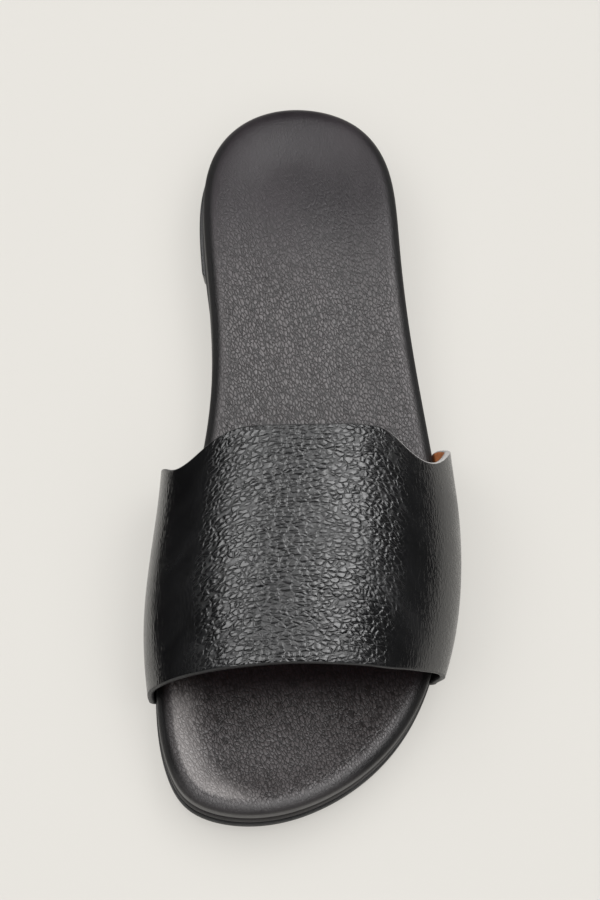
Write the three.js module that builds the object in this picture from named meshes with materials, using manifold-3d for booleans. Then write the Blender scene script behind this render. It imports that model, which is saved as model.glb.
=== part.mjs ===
import * as THREE from 'three';
import Module from 'manifold-3d';
import { mergeVertices } from 'three/addons/utils/BufferGeometryUtils.js';

// A left slide sandal: outsole, low heel, wrapped midsole, padded footbed and one wide leather strap.
// Millimetres. X runs to the outer side of the foot, Y from toe to heel and Z up from the floor.

const wasm = await Module();
wasm.setup();

// Footbed plan
const FOOTBED_LENGTH = 247;
const BALL_WIDTH = 91;

// Thickness of each layer, and the gap between neighbours
const OUTSOLE_THICKNESS = 2.5;
const MIDSOLE_THICKNESS = 5;
const INSOLE_THICKNESS = 4.5;
const SEAM = 0.3;

// Side view of the sole
const HEEL_HEIGHT = 8.5;
const HEEL_LENGTH = 56;
const TOE_SPRING = 6;

// Edges of the layers, seen from above: how far each stands out from the footbed, how far the
// outsole is tucked in at the waist, how much the heel narrows downwards, and the broken corners
const OUTSOLE_LIP = 0.2;
const WAIST_TUCK = 1.6;
const HEEL_LIP = 1.1;
const HEEL_DRAFT = 0.8;
const EDGE_BREAK = 0.45;

// Padding of the footbed: rolled edge, raised rim inside it, and the swell under the arch
const ROLL_WIDTH = 5;
const ROLL_DROP = 2.6;
const RIM_HEIGHT = 1.8;
const RIM_WIDTH = 17;
const ARCH_SWELL = 1.6;
const ARCH_LENGTH = 60;

// Strap: leather, height of its top over the footbed, depth from toe edge to heel edge, how far it
// may stand out beyond the footbed, and how it turns in under the midsole
const STRAP_WALL = 2;
const STRAP_RISE = 46;
const STRAP_DEPTH = 74;
const STRAP_FLARE = 10;
const STRAP_EASE = 0.5;
const FLANGE_LENGTH = 10;
const BEND_INNER_RADIUS = 0.8;

// Footbed outline. along: share of the length from the heel.
// medial and lateral: place of each edge beside the shoe's axis, as a share of the ball width.
const OUTLINE = [
  { along: 0, medial: 0, lateral: 0 },
  { along: 0.02, medial: -0.192, lateral: 0.198 },
  { along: 0.1, medial: -0.336, lateral: 0.338 },
  { along: 0.22, medial: -0.343, lateral: 0.368 },
  { along: 0.36, medial: -0.322, lateral: 0.406 },
  { along: 0.5, medial: -0.36, lateral: 0.463 },
  { along: 0.62, medial: -0.446, lateral: 0.498 },
  { along: 0.72, medial: -0.504, lateral: 0.489 },
  { along: 0.8, medial: -0.523, lateral: 0.438 },
  { along: 0.88, medial: -0.514, lateral: 0.334 },
  { along: 0.94, medial: -0.476, lateral: 0.19 },
  { along: 0.98, medial: -0.402, lateral: 0.022 },
  { along: 1, medial: -0.206, lateral: -0.206 },
];

// Underside of the sole, as shares of the length from the heel: where the heel seat starts to fall,
// where the tread meets the floor, and where it lifts again towards the toe
const SEAT_END = 0.13;
const TREAD_START = 0.62;
const TREAD_END = 0.8;

// Middle of the waist, and how far its tuck reaches each way, as shares of the length
const WAIST_AT = 0.42;
const WAIST_REACH = 0.2;

// Height of the rim along the footbed, as a share of RIM_HEIGHT
const RIM_ALONG = [
  { along: 0, rim: 1 },
  { along: 0.2, rim: 0.95 },
  { along: 0.4, rim: 0.6 },
  { along: 0.6, rim: 0.35 },
  { along: 0.8, rim: 0.45 },
  { along: 0.9, rim: 0.7 },
  { along: 1, rim: 0.75 },
];

// Strap sections across the shoe, by share of the length from the heel. Widths: how far the inner
// face stands out beyond the footbed at its widest on each side, as shares of STRAP_FLARE, and the
// place of the top beside the axis, as a share of the ball width.
const STRAP_WIDTHS = [
  { along: 0.48, medial: 1.1, lateral: 0.2, ridge: 0.04 },
  { along: 0.54, medial: 0.84, lateral: 0.13, ridge: 0.03 },
  { along: 0.6, medial: 0.58, lateral: 0.14, ridge: 0.012 },
  { along: 0.68, medial: 0.37, lateral: 0.14, ridge: -0.01 },
  { along: 0.76, medial: 0.23, lateral: 0.19, ridge: -0.03 },
  { along: 0.84, medial: 0.04, lateral: 0.26, ridge: -0.045 },
];

// Heights over the footbed, as shares of STRAP_RISE: where each side is widest, and the top
const STRAP_HEIGHTS = [
  { along: 0.48, medial: 0.3, lateral: 0.23, crown: 1.04 },
  { along: 0.54, medial: 0.3, lateral: 0.23, crown: 1 },
  { along: 0.6, medial: 0.27, lateral: 0.21, crown: 0.945 },
  { along: 0.68, medial: 0.21, lateral: 0.17, crown: 0.873 },
  { along: 0.76, medial: 0.13, lateral: 0.1, crown: 0.79 },
  { along: 0.84, medial: 0.05, lateral: 0.03, crown: 0.7 },
];

// Roundness of a section: how far its handles reach, as shares of each arc's own width and height.
// A quarter of an ellipse has 0.552 on both.
const CROWN_FULLNESS = 0.56;
const SHOULDER_FULLNESS = 0.57;
const BELLY_FULLNESS = 0.45;
const FOOT_LEAN = 0.3;

// Cut edges of the strap. reach: share of the way from the top (0) to the edge of the sole, medial
// below zero and lateral above. heelEdge and toeEdge: place of each edge, as shares of STRAP_DEPTH
// from the strap's own middle, which lies at STRAP_AT along the footbed.
const STRAP_AT = 0.69;
const STRAP_EDGES = [
  { reach: -1.13, heelEdge: 0.575, toeEdge: -0.47 },
  { reach: -0.98, heelEdge: 0.57, toeEdge: -0.482 },
  { reach: -0.84, heelEdge: 0.5, toeEdge: -0.49 },
  { reach: -0.72, heelEdge: 0.452, toeEdge: -0.5 },
  { reach: -0.62, heelEdge: 0.408, toeEdge: -0.506 },
  { reach: -0.53, heelEdge: 0.415, toeEdge: -0.507 },
  { reach: -0.44, heelEdge: 0.465, toeEdge: -0.507 },
  { reach: -0.35, heelEdge: 0.502, toeEdge: -0.506 },
  { reach: -0.2, heelEdge: 0.505, toeEdge: -0.504 },
  { reach: 0, heelEdge: 0.5, toeEdge: -0.5 },
  { reach: 0.22, heelEdge: 0.508, toeEdge: -0.498 },
  { reach: 0.31, heelEdge: 0.495, toeEdge: -0.495 },
  { reach: 0.4, heelEdge: 0.44, toeEdge: -0.492 },
  { reach: 0.49, heelEdge: 0.408, toeEdge: -0.48 },
  { reach: 0.58, heelEdge: 0.43, toeEdge: -0.466 },
  { reach: 0.7, heelEdge: 0.515, toeEdge: -0.44 },
  { reach: 0.84, heelEdge: 0.6, toeEdge: -0.415 },
  { reach: 0.98, heelEdge: 0.664, toeEdge: -0.397 },
  { reach: 1.13, heelEdge: 0.664, toeEdge: -0.39 },
];

// Mesh density
const RING_POINTS = 72;
const CHORD_STEPS = 6;
const ROLL_STEPS = 4;
const SHOULDER_STEPS = 13;
const WALL_STEPS = 5;
const BEND_STEPS = 3;
const FLANGE_STEPS = 2;
const DEPTH_STEPS = 13;

const TURN = 2 * Math.PI;
const MEDIAL = -1;
const LATERAL = 1;

// Curve through the rows of a table, with matching slope and curvature at each row. With a period
// the curve is closed: its rows repeat after that distance.
function curveThrough(knots, values, period = 0) {
  const count = knots.length;
  const wrap = (i) => ((i % count) + count) % count;
  const knotAt = (i) => knots[wrap(i)] + period * Math.floor(i / count);
  const valueAt = (i) => values[wrap(i)];
  const slopeAfter = (i) => (valueAt(i + 1) - valueAt(i)) / (knotAt(i + 1) - knotAt(i));
  const first = period ? 0 : 1;
  const last = period ? count - 1 : count - 2;
  const tangents = knots.map((_, i) => slopeAfter(period ? i : Math.min(i, count - 2)));
  const tangentAt = (i) => tangents[wrap(i)];
  const sweeps = 60;
  for (let sweep = 0; sweep < sweeps; sweep += 1) {
    for (let i = first; i <= last; i += 1) {
      const before = knotAt(i) - knotAt(i - 1);
      const after = knotAt(i + 1) - knotAt(i);
      const pull = 3 * (after * slopeAfter(i - 1) + before * slopeAfter(i));
      tangents[i] = (pull - after * tangentAt(i - 1) - before * tangentAt(i + 1)) / (2 * (before + after));
    }
  }
  return (place) => {
    const turned = period ? place - period * Math.floor((place - knots[0]) / period) : place;
    const at = period ? turned : Math.min(Math.max(turned, knots[0]), knots[count - 1]);
    let i = 0;
    while (i < last && knotAt(i + 1) < at) i += 1;
    const span = knotAt(i + 1) - knotAt(i);
    const f = (at - knotAt(i)) / span;
    const g = 1 - f;
    return valueAt(i) * g * g * (1 + 2 * f) + valueAt(i + 1) * f * f * (3 - 2 * f)
      + span * f * g * (g * tangentAt(i) - f * tangentAt(i + 1));
  };
}

function columnCurve(table, knot, name) {
  return curveThrough(table.map((row) => row[knot]), table.map((row) => row[name]));
}

function ease(share) {
  const s = Math.min(Math.max(share, 0), 1);
  return s * s * (3 - 2 * s);
}

function alongOf(y) {
  return 0.5 - y / FOOTBED_LENGTH;
}

function yOf(along) {
  return (0.5 - along) * FOOTBED_LENGTH;
}

// Footbed edge, by an angle that runs from the heel (0) along the lateral side to the toe (half a
// turn) and back along the medial side. Y is the cosine of that angle.
function angleOf(along) {
  return Math.acos(1 - 2 * Math.min(Math.max(along, 0), 1));
}

function closedOutline() {
  const lateral = OUTLINE.map((row) => ({ angle: angleOf(row.along), x: row.lateral }));
  const medial = OUTLINE.slice(1, -1).reverse()
    .map((row) => ({ angle: TURN - angleOf(row.along), x: row.medial }));
  const rows = [...lateral, ...medial];
  return curveThrough(rows.map((row) => row.angle), rows.map((row) => row.x * BALL_WIDTH), TURN);
}

const outlineX = closedOutline();

// Point of the outline, moved out square to it
function outlinePoint(angle, out = 0) {
  const step = 0.001;
  const dx = (outlineX(angle + step) - outlineX(angle - step)) / (2 * step);
  const dy = -(FOOTBED_LENGTH / 2) * Math.sin(angle);
  const size = Math.hypot(dx, dy);
  return {
    x: outlineX(angle) - (out * dy) / size,
    y: (FOOTBED_LENGTH / 2) * Math.cos(angle) + (out * dx) / size,
  };
}

function edgeX(y, side) {
  const angle = angleOf(alongOf(y));
  return outlineX(side === LATERAL ? angle : TURN - angle);
}

// Underside of the sole: a level heel seat, a fall through the waist, a flat tread and a lifted toe
function undersideZ(y) {
  const along = alongOf(y);
  const fall = 1 - ease((along - SEAT_END) / (TREAD_START - SEAT_END));
  const lift = Math.max((along - TREAD_END) / (1 - TREAD_END), 0);
  return HEEL_HEIGHT * fall + TOE_SPRING * lift * lift;
}

// Heights of the layers over the underside
const MIDSOLE_BOTTOM = OUTSOLE_THICKNESS + SEAM;
const MIDSOLE_TOP = MIDSOLE_BOTTOM + MIDSOLE_THICKNESS;
const INSOLE_BOTTOM = MIDSOLE_TOP + SEAM;
const INSOLE_TOP = INSOLE_BOTTOM + INSOLE_THICKNESS;

function outsoleLip(y) {
  const waist = Math.max(1 - Math.abs(alongOf(y) - WAIST_AT) / WAIST_REACH, 0);
  return OUTSOLE_LIP - (OUTSOLE_LIP + WAIST_TUCK) * ease(waist);
}

// Distance from the footbed's edge, measured on straight runs between samples of the outline
const EDGE_SAMPLES = Array.from({ length: 240 }, (_, i) => outlinePoint((TURN * i) / 240));

function edgeDistance(x, y) {
  const distances = EDGE_SAMPLES.map((a, i) => {
    const b = EDGE_SAMPLES[(i + 1) % EDGE_SAMPLES.length];
    const run = { x: b.x - a.x, y: b.y - a.y };
    const f = ((x - a.x) * run.x + (y - a.y) * run.y) / (run.x ** 2 + run.y ** 2);
    const nearest = Math.min(Math.max(f, 0), 1);
    return Math.hypot(x - a.x - nearest * run.x, y - a.y - nearest * run.y);
  });
  return Math.min(...distances);
}

// Top of the footbed inside its rolled edge: a rim that cups heel and toes, and a swell that
// supports the arch on the medial side
const rimAlong = columnCurve(RIM_ALONG, 'along', 'rim');

function footbedZ(x, y, inset) {
  const rim = rimAlong(alongOf(y)) * (1 - ease((inset - ROLL_WIDTH) / RIM_WIDTH));
  const medialSide = ease(0.5 - (2 * x) / BALL_WIDTH);
  const arch = Math.exp(-(((y - yOf(WAIST_AT)) / (ARCH_LENGTH / 2)) ** 2)) * medialSide;
  return undersideZ(y) + INSOLE_TOP + RIM_HEIGHT * rim + ARCH_SWELL * arch;
}

function geometryFrom(points, faces) {
  const geometry = new THREE.BufferGeometry();
  const positions = points.flatMap((p) => [p.x, p.y, p.z]);
  geometry.setAttribute('position', new THREE.Float32BufferAttribute(positions, 3));
  geometry.setIndex(faces.flat());
  return geometry;
}

function addQuad(faces, a, b, c, d) {
  faces.push([a, b, c], [a, c, d]);
}

// Fills one face of a layer with chords from the lateral half of an edge ring to the medial half
function addChords(points, faces, start, z, upward) {
  const half = RING_POINTS / 2;
  const addFace = (a, b, c) => faces.push(upward ? [a, c, b] : [a, b, c]);
  const chords = [];
  for (let i = 1; i < half; i += 1) {
    const lateral = points[start + i];
    const medial = points[start + RING_POINTS - i];
    const chord = [start + i];
    for (let k = 1; k < CHORD_STEPS; k += 1) {
      const f = k / CHORD_STEPS;
      const x = lateral.x + (medial.x - lateral.x) * f;
      const y = lateral.y + (medial.y - lateral.y) * f;
      chord.push(points.length);
      points.push({ x, y, z: z(x, y) });
    }
    chord.push(start + RING_POINTS - i);
    chords.push(chord);
  }
  for (let k = 0; k < CHORD_STEPS; k += 1) {
    addFace(start, chords[0][k], chords[0][k + 1]);
    addFace(start + half, chords[half - 2][k + 1], chords[half - 2][k]);
    for (let i = 0; i + 1 < chords.length; i += 1) {
      addFace(chords[i][k], chords[i + 1][k], chords[i + 1][k + 1]);
      addFace(chords[i][k], chords[i + 1][k + 1], chords[i][k + 1]);
    }
  }
}

// One layer of the sole. Its edge is lofted through rings, listed from the lower face round to the
// upper one: out is how far a ring stands out from the footbed's edge at a given y, and height is
// its z at a given x and y.
function layer(rings, lowerZ, upperZ) {
  const points = [];
  const faces = [];
  const starts = rings.map((ring) => {
    const start = points.length;
    for (let i = 0; i < RING_POINTS; i += 1) {
      const angle = (TURN * i) / RING_POINTS;
      const p = outlinePoint(angle, ring.out(outlinePoint(angle).y));
      points.push({ x: p.x, y: p.y, z: ring.height(p.x, p.y) });
    }
    return start;
  });
  for (let k = 0; k + 1 < rings.length; k += 1) {
    for (let i = 0; i < RING_POINTS; i += 1) {
      const next = (i + 1) % RING_POINTS;
      addQuad(faces, starts[k] + next, starts[k] + i, starts[k + 1] + i, starts[k + 1] + next);
    }
  }
  addChords(points, faces, starts[0], lowerZ, false);
  addChords(points, faces, starts[starts.length - 1], upperZ, true);
  return geometryFrom(points, faces);
}

// A layer of even thickness with broken corners
function sheet(bottom, top, out) {
  const at = (lift) => (x, y) => undersideZ(y) + lift;
  const broken = (y) => out(y) - EDGE_BREAK;
  const rings = [
    { out: broken, height: at(bottom) },
    { out, height: at(bottom + EDGE_BREAK) },
    { out, height: at(top - EDGE_BREAK) },
    { out: broken, height: at(top) },
  ];
  return layer(rings, at(bottom), at(top));
}

function toSolid(geometry) {
  const bare = geometry.clone();
  bare.deleteAttribute('normal');
  bare.deleteAttribute('uv');
  const merged = mergeVertices(bare);
  return new wasm.Manifold(new wasm.Mesh({
    numProp: 3,
    vertProperties: new Float32Array(merged.attributes.position.array),
    triVerts: new Uint32Array(merged.index.array),
  }));
}

function fromSolid(solid) {
  const mesh = solid.getMesh();
  const geometry = new THREE.BufferGeometry();
  geometry.setAttribute('position', new THREE.Float32BufferAttribute(mesh.vertProperties, mesh.numProp));
  geometry.setIndex(Array.from(mesh.triVerts));
  return geometry;
}

const FLARE = {
  [MEDIAL]: columnCurve(STRAP_WIDTHS, 'along', 'medial'),
  [LATERAL]: columnCurve(STRAP_WIDTHS, 'along', 'lateral'),
};
const BELLY = {
  [MEDIAL]: columnCurve(STRAP_HEIGHTS, 'along', 'medial'),
  [LATERAL]: columnCurve(STRAP_HEIGHTS, 'along', 'lateral'),
};
const ridgeAlong = columnCurve(STRAP_WIDTHS, 'along', 'ridge');
const crownAlong = columnCurve(STRAP_HEIGHTS, 'along', 'crown');

function bezier(a, b, c, d, f) {
  const g = 1 - f;
  const blend = (axis) => a[axis] * g ** 3 + 3 * b[axis] * g * g * f
    + 3 * c[axis] * g * f * f + d[axis] * f ** 3;
  return { x: blend('x'), z: blend('z') };
}

// Landmarks of the strap's middle layer at one y: the ridge on top, the hip where it is widest, and
// the foot where it starts to turn in under the midsole
function sectionLandmarks(y, side) {
  const along = alongOf(y);
  const footbed = undersideZ(y) + INSOLE_TOP;
  const footX = edgeX(y, side) + side * (STRAP_EASE + STRAP_WALL / 2);
  return {
    ridge: {
      x: ridgeAlong(along) * BALL_WIDTH,
      z: footbed + crownAlong(along) * STRAP_RISE + STRAP_WALL / 2,
    },
    hip: {
      x: footX + side * FLARE[side](along) * STRAP_FLARE,
      z: footbed + BELLY[side](along) * STRAP_RISE,
    },
    foot: { x: footX, z: undersideZ(y) + MIDSOLE_BOTTOM + STRAP_WALL + BEND_INNER_RADIUS },
  };
}

// Point of the strap's middle layer: shoulder, wall, bend and flange, counted in steps from the top
const HIP_STEP = SHOULDER_STEPS;
const FOOT_STEP = HIP_STEP + WALL_STEPS;
const FLANGE_STEP = FOOT_STEP + BEND_STEPS;
const LAST_STEP = FLANGE_STEP + FLANGE_STEPS;

function sectionPoint(y, side, step, flangeLength) {
  const { ridge, hip, foot } = sectionLandmarks(y, side);
  if (step <= HIP_STEP) {
    const overRidge = { x: ridge.x + CROWN_FULLNESS * (hip.x - ridge.x), z: ridge.z };
    const overHip = { x: hip.x, z: hip.z + SHOULDER_FULLNESS * (ridge.z - hip.z) };
    return bezier(ridge, overRidge, overHip, hip, step / SHOULDER_STEPS);
  }
  if (step <= FOOT_STEP) {
    const underHip = { x: hip.x, z: hip.z - BELLY_FULLNESS * (hip.z - foot.z) };
    const overFoot = {
      x: foot.x + FOOT_LEAN * (hip.x - foot.x),
      z: foot.z + FOOT_LEAN * (hip.z - foot.z),
    };
    return bezier(hip, underHip, overFoot, foot, (step - HIP_STEP) / WALL_STEPS);
  }
  const radius = BEND_INNER_RADIUS + STRAP_WALL / 2;
  const turn = ((Math.PI / 2) * Math.min(step - FOOT_STEP, BEND_STEPS)) / BEND_STEPS;
  const run = (flangeLength * Math.max(step - FLANGE_STEP, 0)) / FLANGE_STEPS;
  return {
    x: foot.x - side * (radius * (1 - Math.cos(turn)) + run),
    z: foot.z - radius * Math.sin(turn),
  };
}

// Reach of each step, measured round the strap's own middle section: 0 on top, 1 at the foot
function reachesOn(side) {
  const lengths = [0];
  for (let step = 1; step <= LAST_STEP; step += 1) {
    const before = sectionPoint(yOf(STRAP_AT), side, step - 1, FLANGE_LENGTH);
    const here = sectionPoint(yOf(STRAP_AT), side, step, FLANGE_LENGTH);
    lengths.push(lengths[step - 1] + Math.hypot(here.x - before.x, here.z - before.z));
  }
  return lengths.map((length) => (side * length) / lengths[FOOT_STEP]);
}

const REACH = { [MEDIAL]: reachesOn(MEDIAL), [LATERAL]: reachesOn(LATERAL) };
const heelEdge = columnCurve(STRAP_EDGES, 'reach', 'heelEdge');
const toeEdge = columnCurve(STRAP_EDGES, 'reach', 'toeEdge');

// One run of the strap's middle layer from its toe edge to its heel edge
function strapRun(side, step, spare) {
  const reach = REACH[side][step];
  const toeY = yOf(STRAP_AT) + toeEdge(reach) * STRAP_DEPTH - spare;
  const heelY = yOf(STRAP_AT) + heelEdge(reach) * STRAP_DEPTH + spare;
  return Array.from({ length: DEPTH_STEPS + 1 }, (_, k) => {
    const y = toeY + ((heelY - toeY) * k) / DEPTH_STEPS;
    const p = sectionPoint(y, side, step, FLANGE_LENGTH + spare);
    return new THREE.Vector3(p.x, y, p.z);
  });
}

// The strap as one closed wall around its middle layer. With some spare it is the room that the
// strap needs in its neighbours.
function strap(spare = 0) {
  const runs = [];
  for (let step = LAST_STEP; step > 0; step -= 1) runs.push(strapRun(MEDIAL, step, spare));
  for (let step = 0; step <= LAST_STEP; step += 1) runs.push(strapRun(LATERAL, step, spare));
  const last = runs.length - 1;
  const outwardAt = (i, k) => {
    const across = runs[Math.min(i + 1, last)][k].clone().sub(runs[Math.max(i - 1, 0)][k]);
    const lengthwise = runs[i][Math.min(k + 1, DEPTH_STEPS)].clone().sub(runs[i][Math.max(k - 1, 0)]);
    return across.cross(lengthwise).normalize();
  };
  const points = [];
  const faceAt = (distance) => runs.map((run, i) => run.map((p, k) => {
    points.push(p.clone().addScaledVector(outwardAt(i, k), distance));
    return points.length - 1;
  }));
  const outer = faceAt(STRAP_WALL / 2 + spare);
  const inner = faceAt(-STRAP_WALL / 2 - spare);
  const faces = [];
  for (let i = 0; i < last; i += 1) {
    for (let k = 0; k < DEPTH_STEPS; k += 1) {
      addQuad(faces, outer[i][k], outer[i + 1][k], outer[i + 1][k + 1], outer[i][k + 1]);
      addQuad(faces, inner[i][k], inner[i][k + 1], inner[i + 1][k + 1], inner[i + 1][k]);
    }
    const heel = DEPTH_STEPS;
    addQuad(faces, outer[i][0], inner[i][0], inner[i + 1][0], outer[i + 1][0]);
    addQuad(faces, outer[i][heel], outer[i + 1][heel], inner[i + 1][heel], inner[i][heel]);
  }
  for (let k = 0; k < DEPTH_STEPS; k += 1) {
    addQuad(faces, outer[0][k], outer[0][k + 1], inner[0][k + 1], inner[0][k]);
    addQuad(faces, outer[last][k], inner[last][k], inner[last][k + 1], outer[last][k + 1]);
  }
  return geometryFrom(points, faces);
}

function outsole() {
  return sheet(0, OUTSOLE_THICKNESS, outsoleLip);
}

// The midsole is pocketed on both sides, where the strap turns in under it
function midsole() {
  const board = toSolid(sheet(MIDSOLE_BOTTOM, MIDSOLE_TOP, () => 0));
  return fromSolid(board.subtract(toSolid(strap(SEAM))));
}

function insole() {
  const bottomAt = (lift) => (x, y) => undersideZ(y) + INSOLE_BOTTOM + lift;
  const rings = [
    { out: () => -EDGE_BREAK, height: bottomAt(0) },
    { out: () => 0, height: bottomAt(EDGE_BREAK) },
  ];
  for (let k = 0; k <= ROLL_STEPS; k += 1) {
    const turn = ((Math.PI / 2) * k) / ROLL_STEPS;
    const inset = ROLL_WIDTH * (1 - Math.cos(turn));
    const drop = ROLL_DROP * (1 - Math.sin(turn));
    rings.push({ out: () => -inset, height: (x, y) => footbedZ(x, y, ROLL_WIDTH) - drop });
  }
  return layer(rings, bottomAt(0), (x, y) => footbedZ(x, y, edgeDistance(x, y)));
}

// The heel block follows the outsole above it and ends in a plain upright breast
function heel() {
  const topZ = (x, y) => Math.max(undersideZ(y) - SEAM, SEAM);
  const rings = [
    { out: () => HEEL_LIP - HEEL_DRAFT, height: () => 0 },
    { out: () => HEEL_LIP, height: topZ },
  ];
  const block = toSolid(layer(rings, () => 0, topZ));
  const cut = 2 * FOOTBED_LENGTH;
  const beyondBreast = new THREE.BoxGeometry(cut, cut, cut);
  beyondBreast.translate(0, yOf(0) - HEEL_LENGTH - cut / 2, 0);
  return fromSolid(block.subtract(toSolid(beyondBreast)));
}

function piece(name, geometry, color, roughness) {
  geometry.computeVertexNormals();
  const mesh = new THREE.Mesh(geometry, new THREE.MeshStandardMaterial({ color, roughness, metalness: 0 }));
  mesh.name = name;
  return mesh;
}

const sandal = new THREE.Group();
sandal.add(
  piece('outsole', outsole(), 0x141416, 0.6),
  piece('heel', heel(), 0x18181a, 0.5),
  piece('midsole', midsole(), 0x1b1b1d, 0.4),
  piece('insole', insole(), 0x2a282b, 0.45),
  piece('strap', strap(), 0x161617, 0.35),
);

// The origin lies on the floor, under the middle of the whole sandal
const extent = new THREE.Box3().setFromObject(sandal);
sandal.position.set(-(extent.min.x + extent.max.x) / 2, -(extent.min.y + extent.max.y) / 2, 0);

export default sandal;
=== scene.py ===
# %% [markdown]
# # A black leather slide, left foot
#
# The real slide is put together from five pieces. From the floor up they are a thin rubber outsole,
# a low heel block, a midsole board wrapped in smooth leather, a padded leather footbed, and one wide
# pebbled strap whose ends are tucked in between the midsole and the outsole.
#
# The imported CAD model is opened first and stays fixed. It has the right sizes but plain surfaces, so
# each of its five nodes is replaced by a finer piece that follows the same curves. Whoever reads
# this learns how a table of a few measured rows becomes a smooth surface.

# %% Open the packed sandal
import math

import bmesh
import bpy
import numpy as np
from mathutils import Matrix, Vector


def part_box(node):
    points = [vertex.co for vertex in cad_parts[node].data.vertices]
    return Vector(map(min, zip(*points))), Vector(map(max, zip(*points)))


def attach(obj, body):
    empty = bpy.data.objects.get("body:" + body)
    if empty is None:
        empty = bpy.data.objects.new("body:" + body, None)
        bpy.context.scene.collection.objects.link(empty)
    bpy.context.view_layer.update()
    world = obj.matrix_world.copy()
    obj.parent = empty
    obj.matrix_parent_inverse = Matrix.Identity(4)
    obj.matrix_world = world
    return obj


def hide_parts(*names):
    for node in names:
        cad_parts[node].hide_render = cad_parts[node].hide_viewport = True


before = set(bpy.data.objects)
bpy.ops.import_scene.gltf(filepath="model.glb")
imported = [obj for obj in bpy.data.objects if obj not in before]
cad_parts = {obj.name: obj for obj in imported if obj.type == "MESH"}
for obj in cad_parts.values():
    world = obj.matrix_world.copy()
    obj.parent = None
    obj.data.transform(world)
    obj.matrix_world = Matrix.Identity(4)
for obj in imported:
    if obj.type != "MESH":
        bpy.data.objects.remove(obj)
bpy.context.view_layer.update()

print("nodes in the frame:", sorted(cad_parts))

# %% [markdown]
# ## The maker's measures
#
# A shoemaker writes down a length, a ball width and some thicknesses, and draws everything else as
# shares of these. All measures here are millimetres. X runs to the outer side of the foot, Y from
# toe to heel and Z up from the floor. `along` is the share of the way from the heel to the toe.

# %% Sizes of the sole and of the strap
FOOTBED_LENGTH, BALL_WIDTH = 247, 91
OUTSOLE_THICKNESS, MIDSOLE_THICKNESS, INSOLE_THICKNESS, SEAM = 2.5, 5, 4.5, 0.3
HEEL_HEIGHT, HEEL_LENGTH, TOE_SPRING = 8.5, 56, 6
OUTSOLE_LIP, WAIST_TUCK, HEEL_LIP, HEEL_DRAFT = 0.2, 1.6, 1.1, 0.8
ROLL_WIDTH, ROLL_DROP, RIM_HEIGHT, RIM_WIDTH = 5, 2.6, 1.8, 17
ARCH_SWELL, ARCH_LENGTH = 1.6, 60
SEAT_END, TREAD_START, TREAD_END = 0.13, 0.62, 0.8
WAIST_AT, WAIST_REACH = 0.42, 0.2
STRAP_WALL, STRAP_RISE, STRAP_DEPTH, STRAP_AT = 2, 46, 74, 0.69
STRAP_FLARE, STRAP_EASE, FLANGE_LENGTH, BEND_INNER_RADIUS = 10, 0.5, 10, 0.8
CROWN_FULLNESS, SHOULDER_FULLNESS, BELLY_FULLNESS, FOOT_LEAN = 0.56, 0.57, 0.45, 0.3

MIDSOLE_BOTTOM = OUTSOLE_THICKNESS + SEAM
MIDSOLE_TOP = MIDSOLE_BOTTOM + MIDSOLE_THICKNESS
INSOLE_BOTTOM = MIDSOLE_TOP + SEAM
INSOLE_TOP = INSOLE_BOTTOM + INSOLE_THICKNESS
TURN = 2 * math.pi
MEDIAL, LATERAL = -1, 1

# %% Tables of the footbed
# along, medial edge and lateral edge as shares of the ball width
OUTLINE = [
    (0, 0, 0), (0.02, -0.192, 0.198), (0.1, -0.336, 0.338), (0.22, -0.343, 0.368),
    (0.36, -0.322, 0.406), (0.5, -0.36, 0.463), (0.62, -0.446, 0.498), (0.72, -0.504, 0.489),
    (0.8, -0.523, 0.438), (0.88, -0.514, 0.334), (0.94, -0.476, 0.19), (0.98, -0.402, 0.022),
    (1, -0.206, -0.206),
]
# along, height of the rim as a share of RIM_HEIGHT
RIM_ALONG = [(0, 1), (0.2, 0.95), (0.4, 0.6), (0.6, 0.35), (0.8, 0.45), (0.9, 0.7), (1, 0.75)]

# %% Tables of the strap
# along, how far each side stands out (shares of STRAP_FLARE), place of the top (share of BALL_WIDTH)
STRAP_WIDTHS = [
    (0.48, 1.1, 0.2, 0.04), (0.54, 0.84, 0.13, 0.03), (0.6, 0.58, 0.14, 0.012),
    (0.68, 0.37, 0.14, -0.01), (0.76, 0.23, 0.19, -0.03), (0.84, 0.04, 0.26, -0.045),
]
# along, height where each side is widest and height of the top, as shares of STRAP_RISE
STRAP_HEIGHTS = [
    (0.48, 0.3, 0.23, 1.04), (0.54, 0.3, 0.23, 1), (0.6, 0.27, 0.21, 0.945),
    (0.68, 0.21, 0.17, 0.873), (0.76, 0.13, 0.1, 0.79), (0.84, 0.05, 0.03, 0.7),
]
# reach from the top (0) to the edge of the sole (1), heel edge and toe edge as shares of STRAP_DEPTH
STRAP_EDGES = [
    (-1.13, 0.575, -0.47), (-0.98, 0.57, -0.482), (-0.84, 0.5, -0.49), (-0.72, 0.452, -0.5),
    (-0.62, 0.408, -0.506), (-0.53, 0.415, -0.507), (-0.44, 0.465, -0.507), (-0.35, 0.502, -0.506),
    (-0.2, 0.505, -0.504), (0, 0.5, -0.5), (0.22, 0.508, -0.498), (0.31, 0.495, -0.495),
    (0.4, 0.44, -0.492), (0.49, 0.408, -0.48), (0.58, 0.43, -0.466), (0.7, 0.515, -0.44),
    (0.84, 0.6, -0.415), (0.98, 0.664, -0.397), (1.13, 0.664, -0.39),
]

# %% [markdown]
# ## From a table to a smooth curve
#
# Straight lines between the rows would show as kinks in the leather. A cubic spline passes through
# every row and keeps slope and curvature equal on both sides of it, which is what a maker does by
# eye with a bent strip of wood. The slopes come from one small system of equations. Soft changes,
# such as a rim that dies out or leather that fades from rough to smooth, use `ease` and `rise`.

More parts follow.
